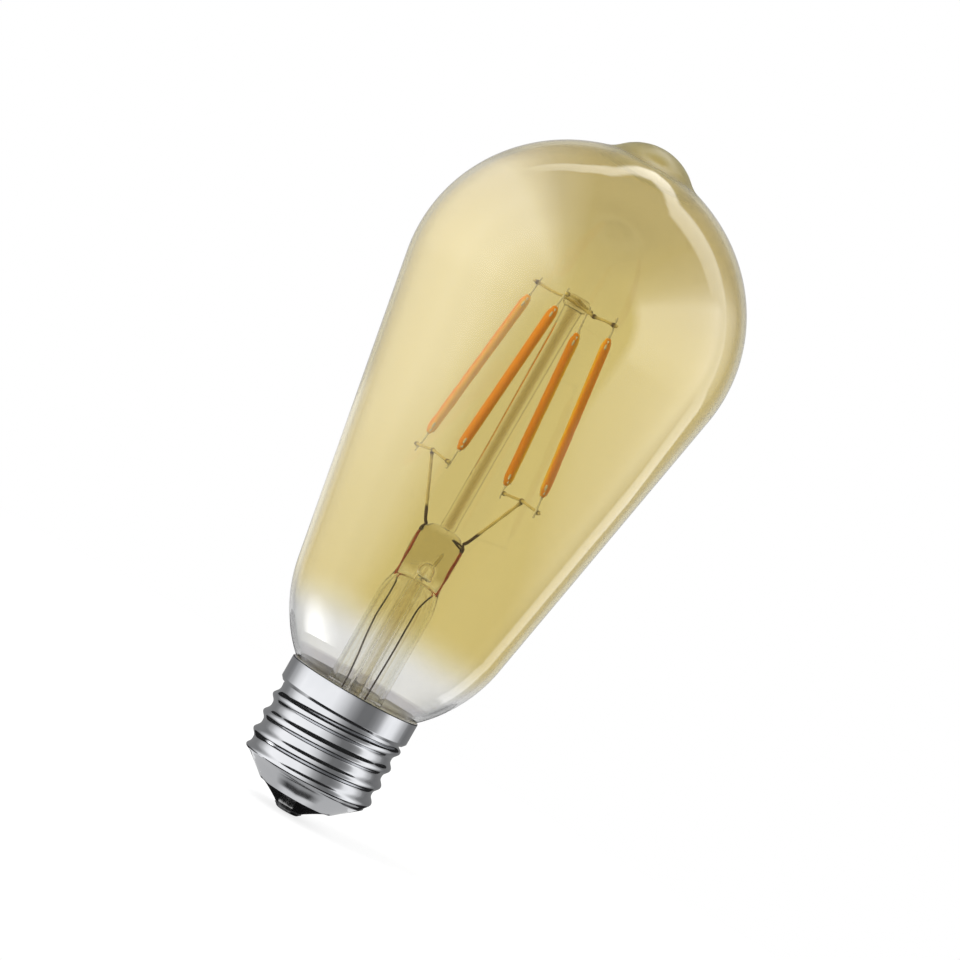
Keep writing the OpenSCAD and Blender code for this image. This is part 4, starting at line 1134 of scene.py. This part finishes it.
def turnAndOut(vert):  # degrees to the right of the camera's side, and millimetres out from the axis
    return math.degrees(math.atan2(vert.co.x, -vert.co.y)), vert.co.xy.length / mm


# a screen round the cap: soft steps of light by turn, between a dark lid and a dark foot
screen = {
    "out": 20, "lip": 0.05, "top": 26.4, "low": 1.0, "lidIn": 13.0, "footIn": 12.5, "dark": 0.02,
    "around": 180,
    # by turn, how many times wider it stands behind the lamp, and its foot beside the lamp
    "far": [(85, 1), (125, 1.7)], "footFar": [(45, 1), (75, 1.36), (105, 1.36), (136, 1.7), (180, 2)],
    "turns": [
        (-180, 0.25), (-108, 0.25), (-92, 0.33), (-78, 0.55), (-67, 1.0), (-58, 1.2), (-14, 1.15), (-6, 0.93),
        (0, 0.73), (6, 0.46), (12, 0.31), (18, 0.2), (30, 0.2), (36, 0.28), (43, 0.46), (50, 1.05), (58, 1.2),
        (67, 1.1), (78, 0.6), (92, 0.28), (108, 0.2), (180, 0.25)],
}


def makeScreen():  # close to the cap, so only the cap mirrors it
    edge = screen["out"] - screen["lip"]
    slack = 0.4 * screen["lip"]
    bm, tip = startAt(screen["lidIn"], screen["top"])
    lineTo(bm, tip, (edge, screen["top"]), (screen["out"], screen["top"]), (screen["out"], screen["low"]),
           (edge, screen["low"]), (screen["footIn"], screen["low"]))
    spinRound(bm, screen["around"])
    layer = bm.verts.layers.float.new("mirrored")
    for vert in bm.verts:
        turn, out = turnAndOut(vert)
        vert[layer] = levelAt(screen["turns"], turn) if out > edge + slack else screen["dark"]
        if out > edge - slack:
            wider = levelAt(screen["far"], abs(turn))
        elif vert.co.z < screen["top"] * mm / 2:
            wider = levelAt(screen["footFar"], abs(turn))
        else:
            wider = 1
        vert.co.x *= wider
        vert.co.y *= wider
    standRound(bm, "capScreen", "transmission")


# a card under the cap: dark where the black foot mirrors it, with one small curved window, and light further
# out for the toe of the shell; window and darkTo say how far out by turn, toe gives the level past the dark
card = {
    "halves": (14, 15), "cells": (150, 200), "z": -1.0, "back": 1.0,
    "windowHalf": 0.2, "windowLevel": 2.5, "toeSide": 0.55,
    "window": [(-86, 2.98), (-44, 2.26), (0, 2.05), (27, 2.13)],
    "darkTo": [(0, 5.7), (55, 6.4), (85, 7.6), (112, 10), (135, 14), (180, 16)],
    "toe": [(1.5, 0.8), (1.8, 0.05), (2.6, 0.05), (3.1, 0.35), (5, 0.4)], "toeMiddle": [(25, 1), (50, 0)],
}


def makeCard():
    bm = bmesh.new()
    bmesh.ops.create_grid(
        bm, x_segments=card["cells"][0], y_segments=card["cells"][1], size=mm,
        matrix=Matrix.Translation((0, card["back"] * mm, card["z"] * mm))
        @ Matrix.Diagonal((*card["halves"], 1, 1)))
    layer = bm.verts.layers.float.new("mirrored")
    start, end = card["window"][0][0], card["window"][-1][0]
    for vert in bm.verts:
        turn, out = turnAndOut(vert)
        beyond = out - levelAt(card["darkTo"], abs(turn))
        middle = levelAt(card["toeMiddle"], abs(turn))
        if start < turn < end and abs(out - levelAt(card["window"], turn)) < card["windowHalf"]:
            vert[layer] = card["windowLevel"]
        elif beyond < 0:
            vert[layer] = screen["dark"]
        else:
            vert[layer] = levelAt(card["toe"], beyond) * middle + card["toeSide"] * (1 - middle)
    standRound(bm, "footCard", "transmission")


makeCamera()
makeWorld()
makeFloor()
makeLamps()
studioLight = glowBy()
makeDome()
makeScreen()
makeCard()
bpy.context.scene.view_settings.view_transform = "Standard"
# a look through the stem crosses more than a dozen glass walls
bpy.context.scene.cycles.max_bounces = 28
bpy.context.scene.cycles.transmission_bounces = 28
print("studio: %d lamps, %d patches" % (len(studio["lamps"]), len(studio["mirrored"])))
